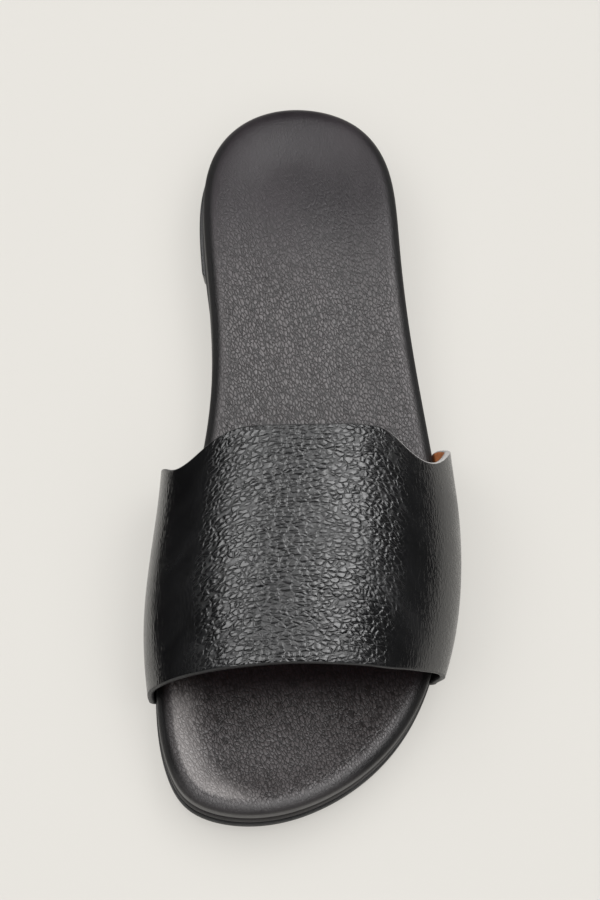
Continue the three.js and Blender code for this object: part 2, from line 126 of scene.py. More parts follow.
# %% A curve through the rows of a table
def curve_through(places, values, period=0.0):
    knots, heights = np.array(places, float), np.array(values, float)
    count = len(knots)
    if period:
        knots, heights = np.append(knots, knots[0] + period), np.append(heights, heights[0])
    gaps = np.diff(knots)
    rises = np.diff(heights) / gaps
    system, pull = np.eye(count), np.zeros(count)
    pull[0], pull[-1] = rises[0], rises[-1]
    for i in range(count) if period else range(1, count - 1):
        before, after = gaps[i - 1], gaps[i]
        system[i, i] = 2 * (before + after)
        system[i, i - 1] = after
        system[i, (i + 1) % count] = before
        pull[i] = 3 * (after * rises[i - 1] + before * rises[i])
    slopes = np.linalg.solve(system, pull)
    if period:
        slopes = np.append(slopes, slopes[0])

    def curve(place):
        place = np.asarray(place, float)
        at = knots[0] + (place - knots[0]) % period if period else np.clip(place, knots[0], knots[-1])
        i = np.clip(np.searchsorted(knots, at, side="right") - 1, 0, len(gaps) - 1)
        f = (at - knots[i]) / gaps[i]
        g = 1 - f
        return (heights[i] * g * g * (1 + 2 * f) + heights[i + 1] * f * f * (3 - 2 * f)
                + gaps[i] * f * g * (g * slopes[i] - f * slopes[i + 1]))
    return curve


def column(table, index):
    return curve_through([row[0] for row in table], [row[index] for row in table])


def ease(share):
    s = np.clip(share, 0, 1)
    return s * s * (3 - 2 * s)


def rise(value, start, end):
    """A soft step that is 0 before start and 1 past end, which may also lie before start."""
    return ease((value - start) / (end - start))


rim_along = column(RIM_ALONG, 1)
print("rim at a third of the length:", round(float(rim_along(1 / 3)) * RIM_HEIGHT, 2), "mm")

# %% [markdown]
# ## The plan of the footbed
#
# Seen from above, the footbed is one closed curve. It is measured by an angle that starts at the
# heel, runs along the outer side to the toe and comes back along the inner side. Moving each point
# square to the curve gives the edges of the other layers, which stand out or are tucked in a little.

# %% Outline of the footbed
def along_of(y):
    return 0.5 - y / FOOTBED_LENGTH


def y_of(along):
    return (0.5 - along) * FOOTBED_LENGTH


def angle_of(along):
    return np.arccos(1 - 2 * np.clip(along, 0, 1))


outline_rows = [(angle_of(along), lateral) for along, _, lateral in OUTLINE]
outline_rows += [(TURN - angle_of(along), medial) for along, medial, _ in OUTLINE[-2:0:-1]]
outline_x = curve_through([row[0] for row in outline_rows],
                          [row[1] * BALL_WIDTH for row in outline_rows], TURN)


def outline_point(angle, out=0.0):
    step = 0.001
    dx = (outline_x(angle + step) - outline_x(angle - step)) / (2 * step)
    dy = -FOOTBED_LENGTH / 2 * np.sin(angle)
    size = np.hypot(dx, dy)
    return np.stack([outline_x(angle) - out * dy / size,
                     FOOTBED_LENGTH / 2 * np.cos(angle) + out * dx / size], -1)


def edge_x(y, side):
    angle = angle_of(along_of(y))
    return outline_x(angle if side == LATERAL else TURN - angle)


# %% Heights of the sole
def underside_z(y):
    along = along_of(y)
    fall = 1 - ease((along - SEAT_END) / (TREAD_START - SEAT_END))
    lift = np.maximum((along - TREAD_END) / (1 - TREAD_END), 0)
    return HEEL_HEIGHT * fall + TOE_SPRING * lift ** 2


def outsole_lip(y):
    waist = np.maximum(1 - np.abs(along_of(y) - WAIST_AT) / WAIST_REACH, 0)
    return OUTSOLE_LIP - (OUTSOLE_LIP + WAIST_TUCK) * ease(waist)


EDGE_SAMPLES = 720
edge_line = outline_point(np.arange(EDGE_SAMPLES) * TURN / EDGE_SAMPLES)


def edge_distance(plan):
    run = np.roll(edge_line, -1, 0) - edge_line
    away = plan[:, None, :] - edge_line[None]
    share = np.clip((away * run).sum(-1) / (run ** 2).sum(-1), 0, 1)
    return np.sqrt(((away - share[..., None] * run) ** 2).sum(-1)).min(1)


def footbed_z(x, y, inset):
    rim = rim_along(along_of(y)) * (1 - ease((inset - ROLL_WIDTH) / RIM_WIDTH))
    arch = np.exp(-((y - y_of(WAIST_AT)) / (ARCH_LENGTH / 2)) ** 2) * ease(0.5 - 2 * x / BALL_WIDTH)
    return underside_z(y) + INSOLE_TOP + RIM_HEIGHT * rim + ARCH_SWELL * arch


# %% Where the sandal stands in the frame
# The CAD model was centred over the origin. Its ring had 72 points, so the same ring gives the shift.
CAD_RING = 72
cad_ring = outline_point(np.arange(CAD_RING) * TURN / CAD_RING)
insole_low, insole_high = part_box("insole")
shift = np.array([insole_low.x * 1000 - cad_ring[:, 0].min(),
                  (insole_low.y + insole_high.y) * 500, 0])
print("the sandal's own axes lie at", np.round(shift, 2), "mm in the frame")

# %% [markdown]
# ## The camera
#
# The photograph was taken from above the toes, about 67 degrees over the floor and a little more
# than a metre away. The camera stays at that very place and only turns to face the one shoe, so
# that every surface is seen at the angle it has in the photograph.

# %% Camera
CAMERA_ELEVATION = math.radians(67)
CAMERA_PLACE = Vector((-51.8, -431.3, 1012.6))
CAMERA_TARGET = Vector((0, -1, 18))
CAMERA_LENS = 134
camera_data = bpy.data.cameras.new("camera")
camera_data.lens = CAMERA_LENS
camera_data.clip_start, camera_data.clip_end = 0.05, 20
camera = bpy.data.objects.new("camera", camera_data)
bpy.context.scene.collection.objects.link(camera)
bpy.context.scene.camera = camera
place = (CAMERA_PLACE + Vector(shift)) / 1000
back = (place - CAMERA_TARGET / 1000).normalized()
picture_up = Vector((0, math.sin(CAMERA_ELEVATION), math.cos(CAMERA_ELEVATION)))
right = picture_up.cross(back).normalized()
turned = Matrix((right, back.cross(right), back)).transposed().to_4x4()
camera.matrix_world = Matrix.Translation(place) @ turned
print("camera at", [round(c, 3) for c in camera.location], "m")

# %% [markdown]
# ## Building blocks for meshes
#
# Each layer of the sole is a stack of rings around the footbed, joined by quads. A ring that is
# drawn in towards a spine along the middle of the foot fills the top and the bottom, which keeps the
# quads square to the edge, where the shapes change. The two halves of the last ring lie on each
# other, so they are merged into one line of points.

# %% Helpers that make a piece
def ring_quads(rings, points_per_ring, closed=True):
    wide = points_per_ring if closed else points_per_ring - 1
    quads = []
    for k in range(rings - 1):
        for i in range(wide):
            j = (i + 1) % points_per_ring
            a, b = k * points_per_ring, (k + 1) * points_per_ring
            quads.append((a + i, a + j, b + j, b + i))
    return quads


def make_piece(name, points, faces, finishes, face_finish=None, uv=None, marks=None):
    mesh = bpy.data.meshes.new(name)
    mesh.from_pydata(((points + shift) / 1000).tolist(), [], faces)
    for finish in finishes:
        mesh.materials.append(finish)
    if face_finish is not None:
        mesh.polygons.foreach_set("material_index", face_finish)
    corners = np.empty(len(mesh.loops), int)
    mesh.loops.foreach_get("vertex_index", corners)
    if uv is not None:
        layer = mesh.uv_layers.new(name="leather")
        layer.data.foreach_set("uv", np.asarray(uv, np.float32)[corners].ravel())
    for mark, amounts in (marks or {}).items():
        attribute = mesh.attributes.new(mark, "FLOAT", "POINT")
        attribute.data.foreach_set("value", np.asarray(amounts, np.float32))
    shape = bmesh.new()
    shape.from_mesh(mesh)
    bmesh.ops.remove_doubles(shape, verts=shape.verts, dist=2e-6)
    bmesh.ops.recalc_face_normals(shape, faces=shape.faces)
    shape.to_mesh(mesh)
    shape.free()
    mesh.shade_smooth()
    piece = bpy.data.objects.new(name, mesh)
    bpy.context.scene.collection.objects.link(piece)
    triangles = sum(len(p.vertices) - 2 for p in mesh.polygons)
    print(f"{name}: {len(mesh.vertices)} points, {triangles} triangles")
    return piece


# %% A layer of the sole
SPINE_END, RING_POINTS, FILL_RINGS = 34, 300, 8


def spine_of(angles):
    y = (FOOTBED_LENGTH / 2 - SPINE_END) * np.cos(angles)
    return np.stack([(edge_x(y, LATERAL) + edge_x(y, MEDIAL)) / 2, y], -1)


def sole_layer(angles, profile, lower_z, upper_z, lower_shares, upper_shares):
    """profile: (out, height) pairs of functions of the plan, from the lower face to the upper one."""
    spine = spine_of(angles)
    edge_y = outline_point(angles)[:, 1]
    rings = []
    for out, height in profile:
        plan = outline_point(angles, out(edge_y))
        rings.append(np.column_stack([plan, height(plan[:, 0], plan[:, 1])]))

    def drawn_in(ring, shares, z):
        for share in shares:
            plan = ring[:, :2] * (1 - share) + spine * share
            yield np.column_stack([plan, z(plan)])
    lower = list(drawn_in(rings[0], lower_shares, lower_z))[::-1]
    upper = list(drawn_in(rings[-1], upper_shares, upper_z))
    stack = lower + rings + upper
    return np.concatenate(stack), ring_quads(len(stack), len(angles))


def over_underside(lift):
    return lambda x, y: underside_z(y) + lift


def flat_over_underside(lift):
    return lambda plan: underside_z(plan[:, 1]) + lift


PLAIN_FILL = np.linspace(0, 1, FILL_RINGS + 1)[1:]
EDGE_RING = np.arange(RING_POINTS) * TURN / RING_POINTS

# %% [markdown]
# ## Finishes
#
# Black leather is never one flat black. What the eye reads as leather is the way the gloss breaks on
# pebbles and pores, so each finish has a little colour, a lot of roughness and a bump in real
# millimetres. Grain, folds, pores and mottle are effects that several of them share. Each one is a
# node group, built once. The bump drives the gloss, so no finish has a coat: a coat keeps a smooth
# face of its own, in which no grain shows.

# %% Helpers for node trees
def add(tree, kind, inputs=None, **settings):
    node = tree.nodes.new(kind)
    for name, value in settings.items():
        setattr(node, name, value)
    for name, value in (inputs or {}).items():
        if isinstance(value, bpy.types.NodeSocket):
            tree.links.new(value, node.inputs[name])
        else:
            node.inputs[name].default_value = value
    return node


def math_of(tree, operation, a, b):
    return add(tree, "ShaderNodeMath", {0: a, 1: b}, operation=operation).outputs[0]


def sum_of(tree, *shares):
    """The sum of some values, each one times its share."""
    parts = [math_of(tree, "MULTIPLY", value, share) for value, share in shares]
    total = parts[0]
    for part in parts[1:]:
        total = math_of(tree, "ADD", total, part)
    return total


def ramp_of(tree, value, low, high, to_low=0.0, to_high=1.0):
    node = add(tree, "ShaderNodeMapRange", {"Value": value, "From Min": low, "From Max": high,
                                            "To Min": to_low, "To Max": to_high})
    node.interpolation_type = "SMOOTHSTEP"
    return node.outputs["Result"]


def new_group(name, inputs, outputs):
    tree = bpy.data.node_groups.new(name, "ShaderNodeTree")
    for label, kind, value in inputs:
        socket = tree.interface.new_socket(label, in_out="INPUT", socket_type=kind)
        if value is not None:
            socket.default_value = value
    for label in outputs:
        tree.interface.new_socket(label, in_out="OUTPUT", socket_type="NodeSocketFloat")
    return tree, tree.nodes.new("NodeGroupInput"), tree.nodes.new("NodeGroupOutput")


def place_group(tree, group, inputs):
    node = tree.nodes.new("ShaderNodeGroup")
    node.node_tree = group
    for name, value in inputs.items():
        if isinstance(value, bpy.types.NodeSocket):
            tree.links.new(value, node.inputs[name])
        else:
            node.inputs[name].default_value = value
    return node


# %% Effect: the grain of leather
# Cells of a Voronoi pattern are the pebbles, and the lines between them the creases. A noise bends
# the pattern first, because no two pebbles of a hide are alike.
FLOAT, VECTOR = "NodeSocketFloat", "NodeSocketVector"
leather_grain, given, put = new_group(
    "leather_grain",
    [("Place", VECTOR, None), ("Cells per metre", FLOAT, 500.0), ("Wander", FLOAT, 0.5)],
    ["Height", "Crease"])
bend = add(leather_grain, "ShaderNodeTexNoise", {
    "Vector": given.outputs["Place"], "Detail": 2.0, "Roughness": 0.5,
    "Scale": math_of(leather_grain, "MULTIPLY", given.outputs["Cells per metre"], 0.6)})
centred = add(leather_grain, "ShaderNodeVectorMath", {0: bend.outputs["Color"], 1: (0.5, 0.5, 0.5)},
              operation="SUBTRACT")
reach = math_of(leather_grain, "DIVIDE", given.outputs["Wander"], given.outputs["Cells per metre"])
moved = add(leather_grain, "ShaderNodeVectorMath", {0: centred.outputs[0], "Scale": reach},
            operation="SCALE")
bent = add(leather_grain, "ShaderNodeVectorMath", {0: given.outputs["Place"], 1: moved.outputs[0]},
           operation="ADD")
border = add(leather_grain, "ShaderNodeTexVoronoi", {
    "Vector": bent.outputs[0], "Scale": given.outputs["Cells per metre"]}, feature="DISTANCE_TO_EDGE")
swell = add(leather_grain, "ShaderNodeTexNoise", {
    "Vector": given.outputs["Place"], "Detail": 2.0, "Roughness": 0.6,
    "Scale": math_of(leather_grain, "MULTIPLY", given.outputs["Cells per metre"], 0.6)})
body = ramp_of(leather_grain, border.outputs["Distance"], 0.0, 0.19)
crown = ramp_of(leather_grain, border.outputs["Distance"], -0.1, 0.6)
BODY_SHARE, CROWN_SHARE, SWELL_SHARE = 0.36, 0.4, 0.5
height = sum_of(leather_grain, (body, BODY_SHARE), (crown, CROWN_SHARE),
                (swell.outputs["Fac"], SWELL_SHARE))
leather_grain.links.new(height, put.inputs["Height"])
leather_grain.links.new(math_of(leather_grain, "SUBTRACT", 1.0, body), put.inputs["Crease"])

# %% Effect: folds
# Where a slow noise passes its middle value, a line winds over the leather. Along these lines the
# height drops, which gives long soft folds that fork and end by themselves.
folds, given, put = new_group("folds", [("Place", VECTOR, None), ("Folds per metre", FLOAT, 300.0)],
                              ["Height"])
drift = add(folds, "ShaderNodeTexNoise", {"Vector": given.outputs["Place"], "Detail": 1.5,
                                          "Roughness": 0.5, "Scale": given.outputs["Folds per metre"]})
off_line = math_of(folds, "ABSOLUTE", math_of(folds, "SUBTRACT", drift.outputs["Fac"], 0.5), 0.0)
folds.links.new(ramp_of(folds, off_line, 0.0, 0.13), put.inputs["Height"])

# %% Effect: pores, and the slow mottle of a dyed hide
pores, given, put = new_group("pores", [("Place", VECTOR, None), ("Pores per metre", FLOAT, 2500.0)],
                              ["Height"])
speckle = add(pores, "ShaderNodeTexNoise", {"Vector": given.outputs["Place"], "Detail": 3.0,
                                            "Roughness": 0.65, "Scale": given.outputs["Pores per metre"]})
pores.links.new(speckle.outputs["Fac"], put.inputs["Height"])

mottle, given, put = new_group("mottle", [("Place", VECTOR, None), ("Patches per metre", FLOAT, 30.0)],
                               ["Tone"])
cloud = add(mottle, "ShaderNodeTexNoise", {"Vector": given.outputs["Place"], "Detail": 4.0,
                                           "Roughness": 0.6, "Scale": given.outputs["Patches per metre"]})
mottle.links.new(ramp_of(mottle, cloud.outputs["Fac"], 0.3, 0.7), put.inputs["Tone"])
print("effects:", [group.name for group in bpy.data.node_groups])


# %% Helpers for a finish
def new_finish(name, **shader):
    finish = bpy.data.materials.new(name)
    finish.use_nodes = True
    surface = finish.node_tree.nodes["Principled BSDF"]
    for socket, value in shader.items():
        surface.inputs[socket.replace("_", " ")].default_value = value
    return finish, finish.node_tree, surface


def blend_colours(tree, amount, low, high):
    node = add(tree, "ShaderNodeMix", {"Factor": amount}, data_type="RGBA")
    for name, value in (("A", low), ("B", high)):
        socket = [s for s in node.inputs if s.name == name and s.type == "RGBA"][0]
        if isinstance(value, bpy.types.NodeSocket):
            tree.links.new(value, socket)
        else:
            socket.default_value = (*value, 1)
    return [s for s in node.outputs if s.type == "RGBA"][0]


def bump_of(tree, surface, height, depth_mm):
    bump = add(tree, "ShaderNodeBump", {"Height": height, "Strength": 1.0, "Distance": depth_mm / 1000})
    tree.links.new(bump.outputs["Normal"], surface.inputs["Normal"])


def stretched(tree, place, scale, turn=0.0):
    return add(tree, "ShaderNodeMapping", {"Vector": place, "Rotation": (0, 0, turn),
                                           "Scale": scale}).outputs[0]


def place_on(tree, scale=(1, 1, 1), turn=0.0, uv=None):
    if uv:
        source = add(tree, "ShaderNodeUVMap", uv_map=uv).outputs["UV"]
    else:
        source = add(tree, "ShaderNodeTexCoord").outputs["Object"]
    return stretched(tree, stretched(tree, source, (1, 1, 1), turn), scale)


def mark_of(tree, mark):
    return add(tree, "ShaderNodeAttribute", attribute_name=mark).outputs["Fac"]


def skin_and_tone(tree, place, pores_per_metre, patches_per_metre):
    skin = place_group(tree, pores, {"Place": place, "Pores per metre": pores_per_metre})
    tone = place_group(tree, mottle, {"Place": place, "Patches per metre": patches_per_metre})
    return skin.outputs["Height"], tone.outputs["Tone"]


# %% Finish: pebbled leather of the strap
# The pebbles fade out on the medial shoulder and before the lateral wall, where the leather was
# pulled. There a finer grain is left, drawn out along the pull.
PEBBLES, PULLED_GRAIN, STRAP_FOLDS = 660, 900, 330
PULL_TURN, PULL_SCALE, FOLD_SCALE = math.radians(25), (1.5, 0.45, 1), (0.7, 1.4, 1)
PULLED_SHARE, FOLD_SHARE, PORE_SHARE, STRAP_BUMP = 0.3, 0.3, 0.08, 0.19
strap_leather, tree, surface = new_finish("strap_leather", Specular_IOR_Level=0.9)
along_strap = place_on(tree, uv="leather")
pebbled = mark_of(tree, "pebbled")
skin, tone = skin_and_tone(tree, along_strap, 2200.0, 45.0)
grain = place_group(tree, leather_grain, {
    "Place": along_strap, "Cells per metre": PEBBLES, "Wander": 0.9})
pulled = place_group(tree, leather_grain, {
    "Place": stretched(tree, along_strap, PULL_SCALE, PULL_TURN),
    "Cells per metre": PULLED_GRAIN, "Wander": 0.9})
fold = place_group(tree, folds, {
    "Place": stretched(tree, along_strap, FOLD_SCALE), "Folds per metre": STRAP_FOLDS})
pulled_share = math_of(tree, "MULTIPLY", math_of(tree, "SUBTRACT", 1.0, pebbled), PULLED_SHARE)
fold_share = math_of(tree, "MULTIPLY", pebbled, FOLD_SHARE)
relief = sum_of(tree, (grain.outputs["Height"], pebbled), (pulled.outputs["Height"], pulled_share),
                (fold.outputs["Height"], fold_share), (skin, PORE_SHARE))
bump_of(tree, surface, relief, STRAP_BUMP)
dyed = blend_colours(tree, tone, (0.0015, 0.0015, 0.0016), (0.003, 0.003, 0.0032))
tree.links.new(dyed, surface.inputs["Base Color"])
dull = math_of(tree, "MULTIPLY", grain.outputs["Crease"], pebbled)
tree.links.new(ramp_of(tree, math_of(tree, "ADD", dull, tone), 0.0, 2.0, 0.18, 0.42),
               surface.inputs["Roughness"])

# %% Helper: a plain skin
def plain_skin(tree, surface, skin, dyed, bump_mm, smooth, rough):
    bump_of(tree, surface, skin, bump_mm)
    tree.links.new(dyed, surface.inputs["Base Color"])
    tree.links.new(ramp_of(tree, skin, 0.3, 0.7, smooth, rough), surface.inputs["Roughness"])


# %% Finish: tan lining of the strap
# Near the toe edge the lining is painted near black, as painted shade inside the front of the strap.
lining_leather, tree, surface = new_finish("lining_leather", Specular_IOR_Level=0.35)
skin, tone = skin_and_tone(tree, place_on(tree, uv="leather"), 1500.0, 60.0)
tanned = blend_colours(tree, tone, (0.28, 0.095, 0.033), (0.40, 0.15, 0.06))
dyed = blend_colours(tree, mark_of(tree, "lining_shade"), tanned, (0.01, 0.009, 0.009))
plain_skin(tree, surface, skin, dyed, 0.12, 0.55, 0.75)

# %% Finish: painted edge of the strap
# In the notch on the outer side the cut edge is painted pale, as a painted highlight.
edge_paint, tree, surface = new_finish("edge_paint", Specular_IOR_Level=0.5)
skin, tone = skin_and_tone(tree, place_on(tree), 1200.0, 120.0)
paint = blend_colours(tree, tone, (0.008, 0.008, 0.0082), (0.014, 0.014, 0.0142))
dyed = blend_colours(tree, mark_of(tree, "notch_highlight"), paint, (0.2, 0.195, 0.19))
plain_skin(tree, surface, skin, dyed, 0.1, 0.35, 0.55)

# %% Finish: padded leather of the footbed
# Soft leather that was stretched over the pad. Fine cells and longer, darker lines slant from the
# heel's medial side towards the lateral toe, and hardly any of them lie under the heel. The colour
# follows three marks: open leather is painted lighter as a painted sheen and the leather under the
# strap stays darker as painted shade, creases are painted darker as painted shade, and the rolled
# edge is painted near black as painted shade.
FOOTBED_GRAIN, FOOTBED_FOLDS, WRINKLE_TURN = 1060, 480, math.radians(20)
GRAIN_SCALE, LINE_SCALE = (1, 0.5, 1), (1.2, 0.25, 1)
LINE_SHARE, SKIN_SHARE, FOOTBED_BUMP = 0.2, 0.3, 0.17
FINE_DARK, LINE_DARK, SHEEN_CREASE_DARK, HEEL_DULL, DULL_ROUGH = 0.9, 0.65, 0.4, 0.6, 0.25
footbed_leather, tree, surface = new_finish(
    "footbed_leather", Specular_IOR_Level=0.5, Sheen_Weight=0.02, Sheen_Roughness=0.5)
across_bed = place_on(tree, GRAIN_SCALE, -WRINKLE_TURN)
wrinkled, rolled_edge_shade, painted_sheen = (mark_of(tree, mark) for mark in ("wrinkled", "rolled_edge_shade", "painted_sheen"))
skin, tone = skin_and_tone(tree, across_bed, 2600.0, 38.0)
grain = place_group(tree, leather_grain, {
    "Place": across_bed, "Cells per metre": FOOTBED_GRAIN, "Wander": 0.8})
fold = place_group(tree, folds, {
    "Place": place_on(tree, LINE_SCALE, -WRINKLE_TURN), "Folds per metre": FOOTBED_FOLDS})
both = sum_of(tree, (grain.outputs["Height"], 1.0), (fold.outputs["Height"], LINE_SHARE))
bump_of(tree, surface, sum_of(tree, (both, wrinkled), (skin, SKIN_SHARE)), FOOTBED_BUMP)

# %% Colour and gloss of the footbed
# The fine creases and the fold lines are painted darker, as painted shade in the creases.
lines = ramp_of(tree, fold.outputs["Height"], 0.25, 0.0, 0.0, LINE_DARK)
fine = math_of(tree, "MULTIPLY", grain.outputs["Crease"], FINE_DARK)
creased = math_of(tree, "MULTIPLY", math_of(tree, "MAXIMUM", fine, lines), wrinkled)
# The creases are painted less dark where the painted sheen lies.
creased = math_of(tree, "MULTIPLY", creased, ramp_of(tree, painted_sheen, 0.2, 1.0, 1.0, SHEEN_CREASE_DARK))
dyed = blend_colours(tree, tone, (0.0050, 0.0036, 0.0046), (0.0115, 0.0092, 0.0106))
# Painted sheen: the open leather and the inner toe slope are painted lighter, and the leather under the
# strap is left darker as painted shade.
dyed = blend_colours(tree, painted_sheen, dyed, (0.112, 0.105, 0.103))
dyed = blend_colours(tree, creased, dyed, (0.002, 0.0018, 0.0018))
# The rolled edge is painted near black, as painted shade where the edge turns down.
dyed = blend_colours(tree, rolled_edge_shade, dyed, (0.0015, 0.0013, 0.0014))
tree.links.new(dyed, surface.inputs["Base Color"])
plain_heel = math_of(tree, "MULTIPLY", math_of(tree, "SUBTRACT", 1.0, wrinkled), HEEL_DULL)
dull = math_of(tree, "MAXIMUM", rolled_edge_shade, plain_heel)
gloss = ramp_of(tree, math_of(tree, "ADD", creased, tone), 0.0, 2.0, 0.27, 0.46)
tree.links.new(sum_of(tree, (gloss, 1.0), (dull, DULL_ROUGH)), surface.inputs["Roughness"])

# %% Finish: smooth wrap of the midsole
wrap_leather, tree, surface = new_finish("wrap_leather", Specular_IOR_Level=0.15)
skin, tone = skin_and_tone(tree, place_on(tree), 1800.0, 50.0)
dyed = blend_colours(tree, tone, (0.008, 0.007, 0.0075), (0.013, 0.012, 0.0125))
plain_skin(tree, surface, skin, dyed, 0.06, 0.42, 0.56)

# %% Finish: rubber of the outsole and of the heel
def rubber(name, dark, light, smooth, rough, specular=0.45):
    finish, tree, surface = new_finish(name, Specular_IOR_Level=specular)
    skin, tone = skin_and_tone(tree, place_on(tree), 1600.0, 70.0)
    dyed = blend_colours(tree, tone, (dark,) * 3, (light,) * 3)
    plain_skin(tree, surface, skin, dyed, 0.08, smooth, rough)
    return finish


outsole_rubber = rubber("outsole_rubber", 0.010, 0.018, 0.5, 0.7)
heel_rubber = rubber("heel_rubber", 0.012, 0.022, 0.08, 0.16, 0.9)
print("finishes:", [strap_leather.name, lining_leather.name, edge_paint.name, footbed_leather.name,
                    wrap_leather.name, outsole_rubber.name, heel_rubber.name])

# %% [markdown]
# ## The outsole
#
# A sheet of rubber, cut along the footbed and drawn in at the waist, where it can't be seen from
# above. Its upper and lower edges are slightly rounded by the cutting and buffing. Underneath it is
# sunk inside a narrow border, and fine ribs stand in that hollow, level with the border.

# %% Outsole
RIB_HEIGHT, TREAD_BORDER, CUT_ROUND = 0.5, 3.2, 0.4


def rounded_edge(out, bottom, top, radius, steps=3):
    """Profile of a plain edge between two heights, with both corners rounded."""
    profile = []
    for k in range(steps + 1):
        a = math.pi / 2 * k / steps
        profile.append((lambda y, a=a: out(y) - radius * (1 - math.sin(a)),
                        over_underside(bottom + radius * (1 - math.cos(a)))))
    for k in range(steps + 1):
        a = math.pi / 2 * k / steps
        profile.append((lambda y, a=a: out(y) - radius * (1 - math.cos(a)),
                        over_underside(top - radius * (1 - math.sin(a)))))
    return profile


hollow = [(lambda y: outsole_lip(y) - TREAD_BORDER - RIB_HEIGHT, over_underside(RIB_HEIGHT)),
          (lambda y: outsole_lip(y) - TREAD_BORDER, over_underside(0))]
points, faces = sole_layer(EDGE_RING, hollow + rounded_edge(outsole_lip, 0, OUTSOLE_THICKNESS, CUT_ROUND),
                           flat_over_underside(RIB_HEIGHT), flat_over_underside(OUTSOLE_THICKNESS),
                           PLAIN_FILL, PLAIN_FILL)
outsole = make_piece("rubber_outsole", points, faces, [outsole_rubber])

# %% [markdown]
# ## The heel block
#
# One low block under the back of the outsole. It stands out a millimetre, narrows towards the floor
# and ends in a plain upright breast. Its plan is the footbed's own curve at the heel, closed by the
# straight breast, and the corners between the two are softened by walking a small ball round them.

# %% Heel block
BREAST_CORNER, HEEL_ROUND = 2.2, 0.6
HEEL_CURVE_POINTS, BREAST_POINTS, HEEL_RING_POINTS, FINER = 4001, 200, 240, 8
breast_y = y_of(0) - HEEL_LENGTH


def heel_plan(out, back=0.0):
    """Ring of points round the heel, moved out, with its straight front moved back."""
    angles = np.linspace(-math.pi / 2, math.pi / 2, HEEL_CURVE_POINTS)
    front_y = breast_y + back
    curve = outline_point(angles, out)
    curve = curve[curve[:, 1] >= front_y]
    front_x = np.linspace(curve[-1, 0], curve[0, 0], BREAST_POINTS)[1:-1]
    loop = np.concatenate([curve, np.column_stack([front_x, np.full(len(front_x), front_y)])])
    step = np.linalg.norm(np.roll(loop, -1, 0) - loop, axis=1)
    length = np.concatenate([[0], np.cumsum(step)])
    at = np.linspace(0, length[-1], HEEL_RING_POINTS * FINER, endpoint=False)
    closed = np.vstack([loop, loop[:1]])
    even = np.column_stack([np.interp(at, length, closed[:, 0]), np.interp(at, length, closed[:, 1])])
    window = max(int(BREAST_CORNER / (length[-1] / len(even))), 1)
    weights = np.hanning(2 * window + 3)[1:-1]
    wrapped = np.vstack([even[-window:], even, even[:window]])
    soft = np.column_stack([np.convolve(wrapped[:, k], weights / weights.sum(), "valid") for k in (0, 1)])
    near = ease((np.abs(even[:, 1] - front_y) - 3 * BREAST_CORNER) / BREAST_CORNER)[:, None]
    mixed = even * near + soft * (1 - near)
    return mixed[::FINER]


def inset_plan(plan, inset):
    run = np.roll(plan, -1, 0) - np.roll(plan, 1, 0)
    run /= np.linalg.norm(run, axis=1)[:, None]
    return plan + inset * np.column_stack([run[:, 1], -run[:, 0]])


def heel_rings():
    lower, upper = heel_plan(HEEL_LIP - HEEL_DRAFT), heel_plan(HEEL_LIP)
    top = np.maximum(underside_z(upper[:, 1]) - SEAM, SEAM)
    centre = np.column_stack([np.full(len(lower), lower[:, 0].mean()),
                              np.clip(lower[:, 1], breast_y + 20, y_of(0) - 24)])
    hollow = TREAD_BORDER + RIB_HEIGHT
    start = heel_plan(HEEL_LIP - HEEL_DRAFT - hollow, hollow)
    for share in np.linspace(1, 0, 6):
        yield start * (1 - share) + centre * share, np.full(len(lower), RIB_HEIGHT)
    yield heel_plan(HEEL_LIP - HEEL_DRAFT - TREAD_BORDER, TREAD_BORDER), np.zeros(len(lower))
    for k in range(5):
        a = math.pi / 2 * k / 4
        yield (inset_plan(lower, HEEL_ROUND * (1 - math.sin(a))),
               np.full(len(lower), HEEL_ROUND * (1 - math.cos(a))))
    for k in range(4):
        a = math.pi / 2 * k / 3
        yield inset_plan(upper, CUT_ROUND * (1 - math.cos(a))), top - CUT_ROUND * (1 - math.sin(a))
    for share in np.linspace(0, 1, 6)[1:]:
        plan = upper * (1 - share) + centre * share
        yield plan, np.maximum(underside_z(plan[:, 1]) - SEAM, SEAM)


rings = [np.column_stack([plan, z]) for plan, z in heel_rings()]
heel = make_piece("heel_block", np.concatenate(rings), ring_quads(len(rings), len(rings[0])),
                  [heel_rubber])
heel.data.set_sharp_from_angle(angle=math.radians(60))

# %% [markdown]
# ## The strap's shape
#
# The strap is one band of leather over the foot. At each place along the shoe its section has three
# landmarks: the ridge on top, the hip where it is widest, and the foot beside the sole, from where it
# bends in under the midsole. Two soft curves join them. The wall is built round this middle layer,
# half its thickness to each side, and its cut edges are rounded as an edge beveller leaves them.

# %% Sections of the strap
flare_of = {MEDIAL: column(STRAP_WIDTHS, 1), LATERAL: column(STRAP_WIDTHS, 2)}
belly_of = {MEDIAL: column(STRAP_HEIGHTS, 1), LATERAL: column(STRAP_HEIGHTS, 2)}
ridge_of, crown_of = column(STRAP_WIDTHS, 3), column(STRAP_HEIGHTS, 3)
heel_edge, toe_edge = column(STRAP_EDGES, 1), column(STRAP_EDGES, 2)

PARTS = ["shoulder", "wall", "bend", "flange"]


def bezier(a, b, c, d, f):
    g = 1 - f
    return a * g ** 3 + 3 * b * g * g * f + 3 * c * g * f * f + d * f ** 3


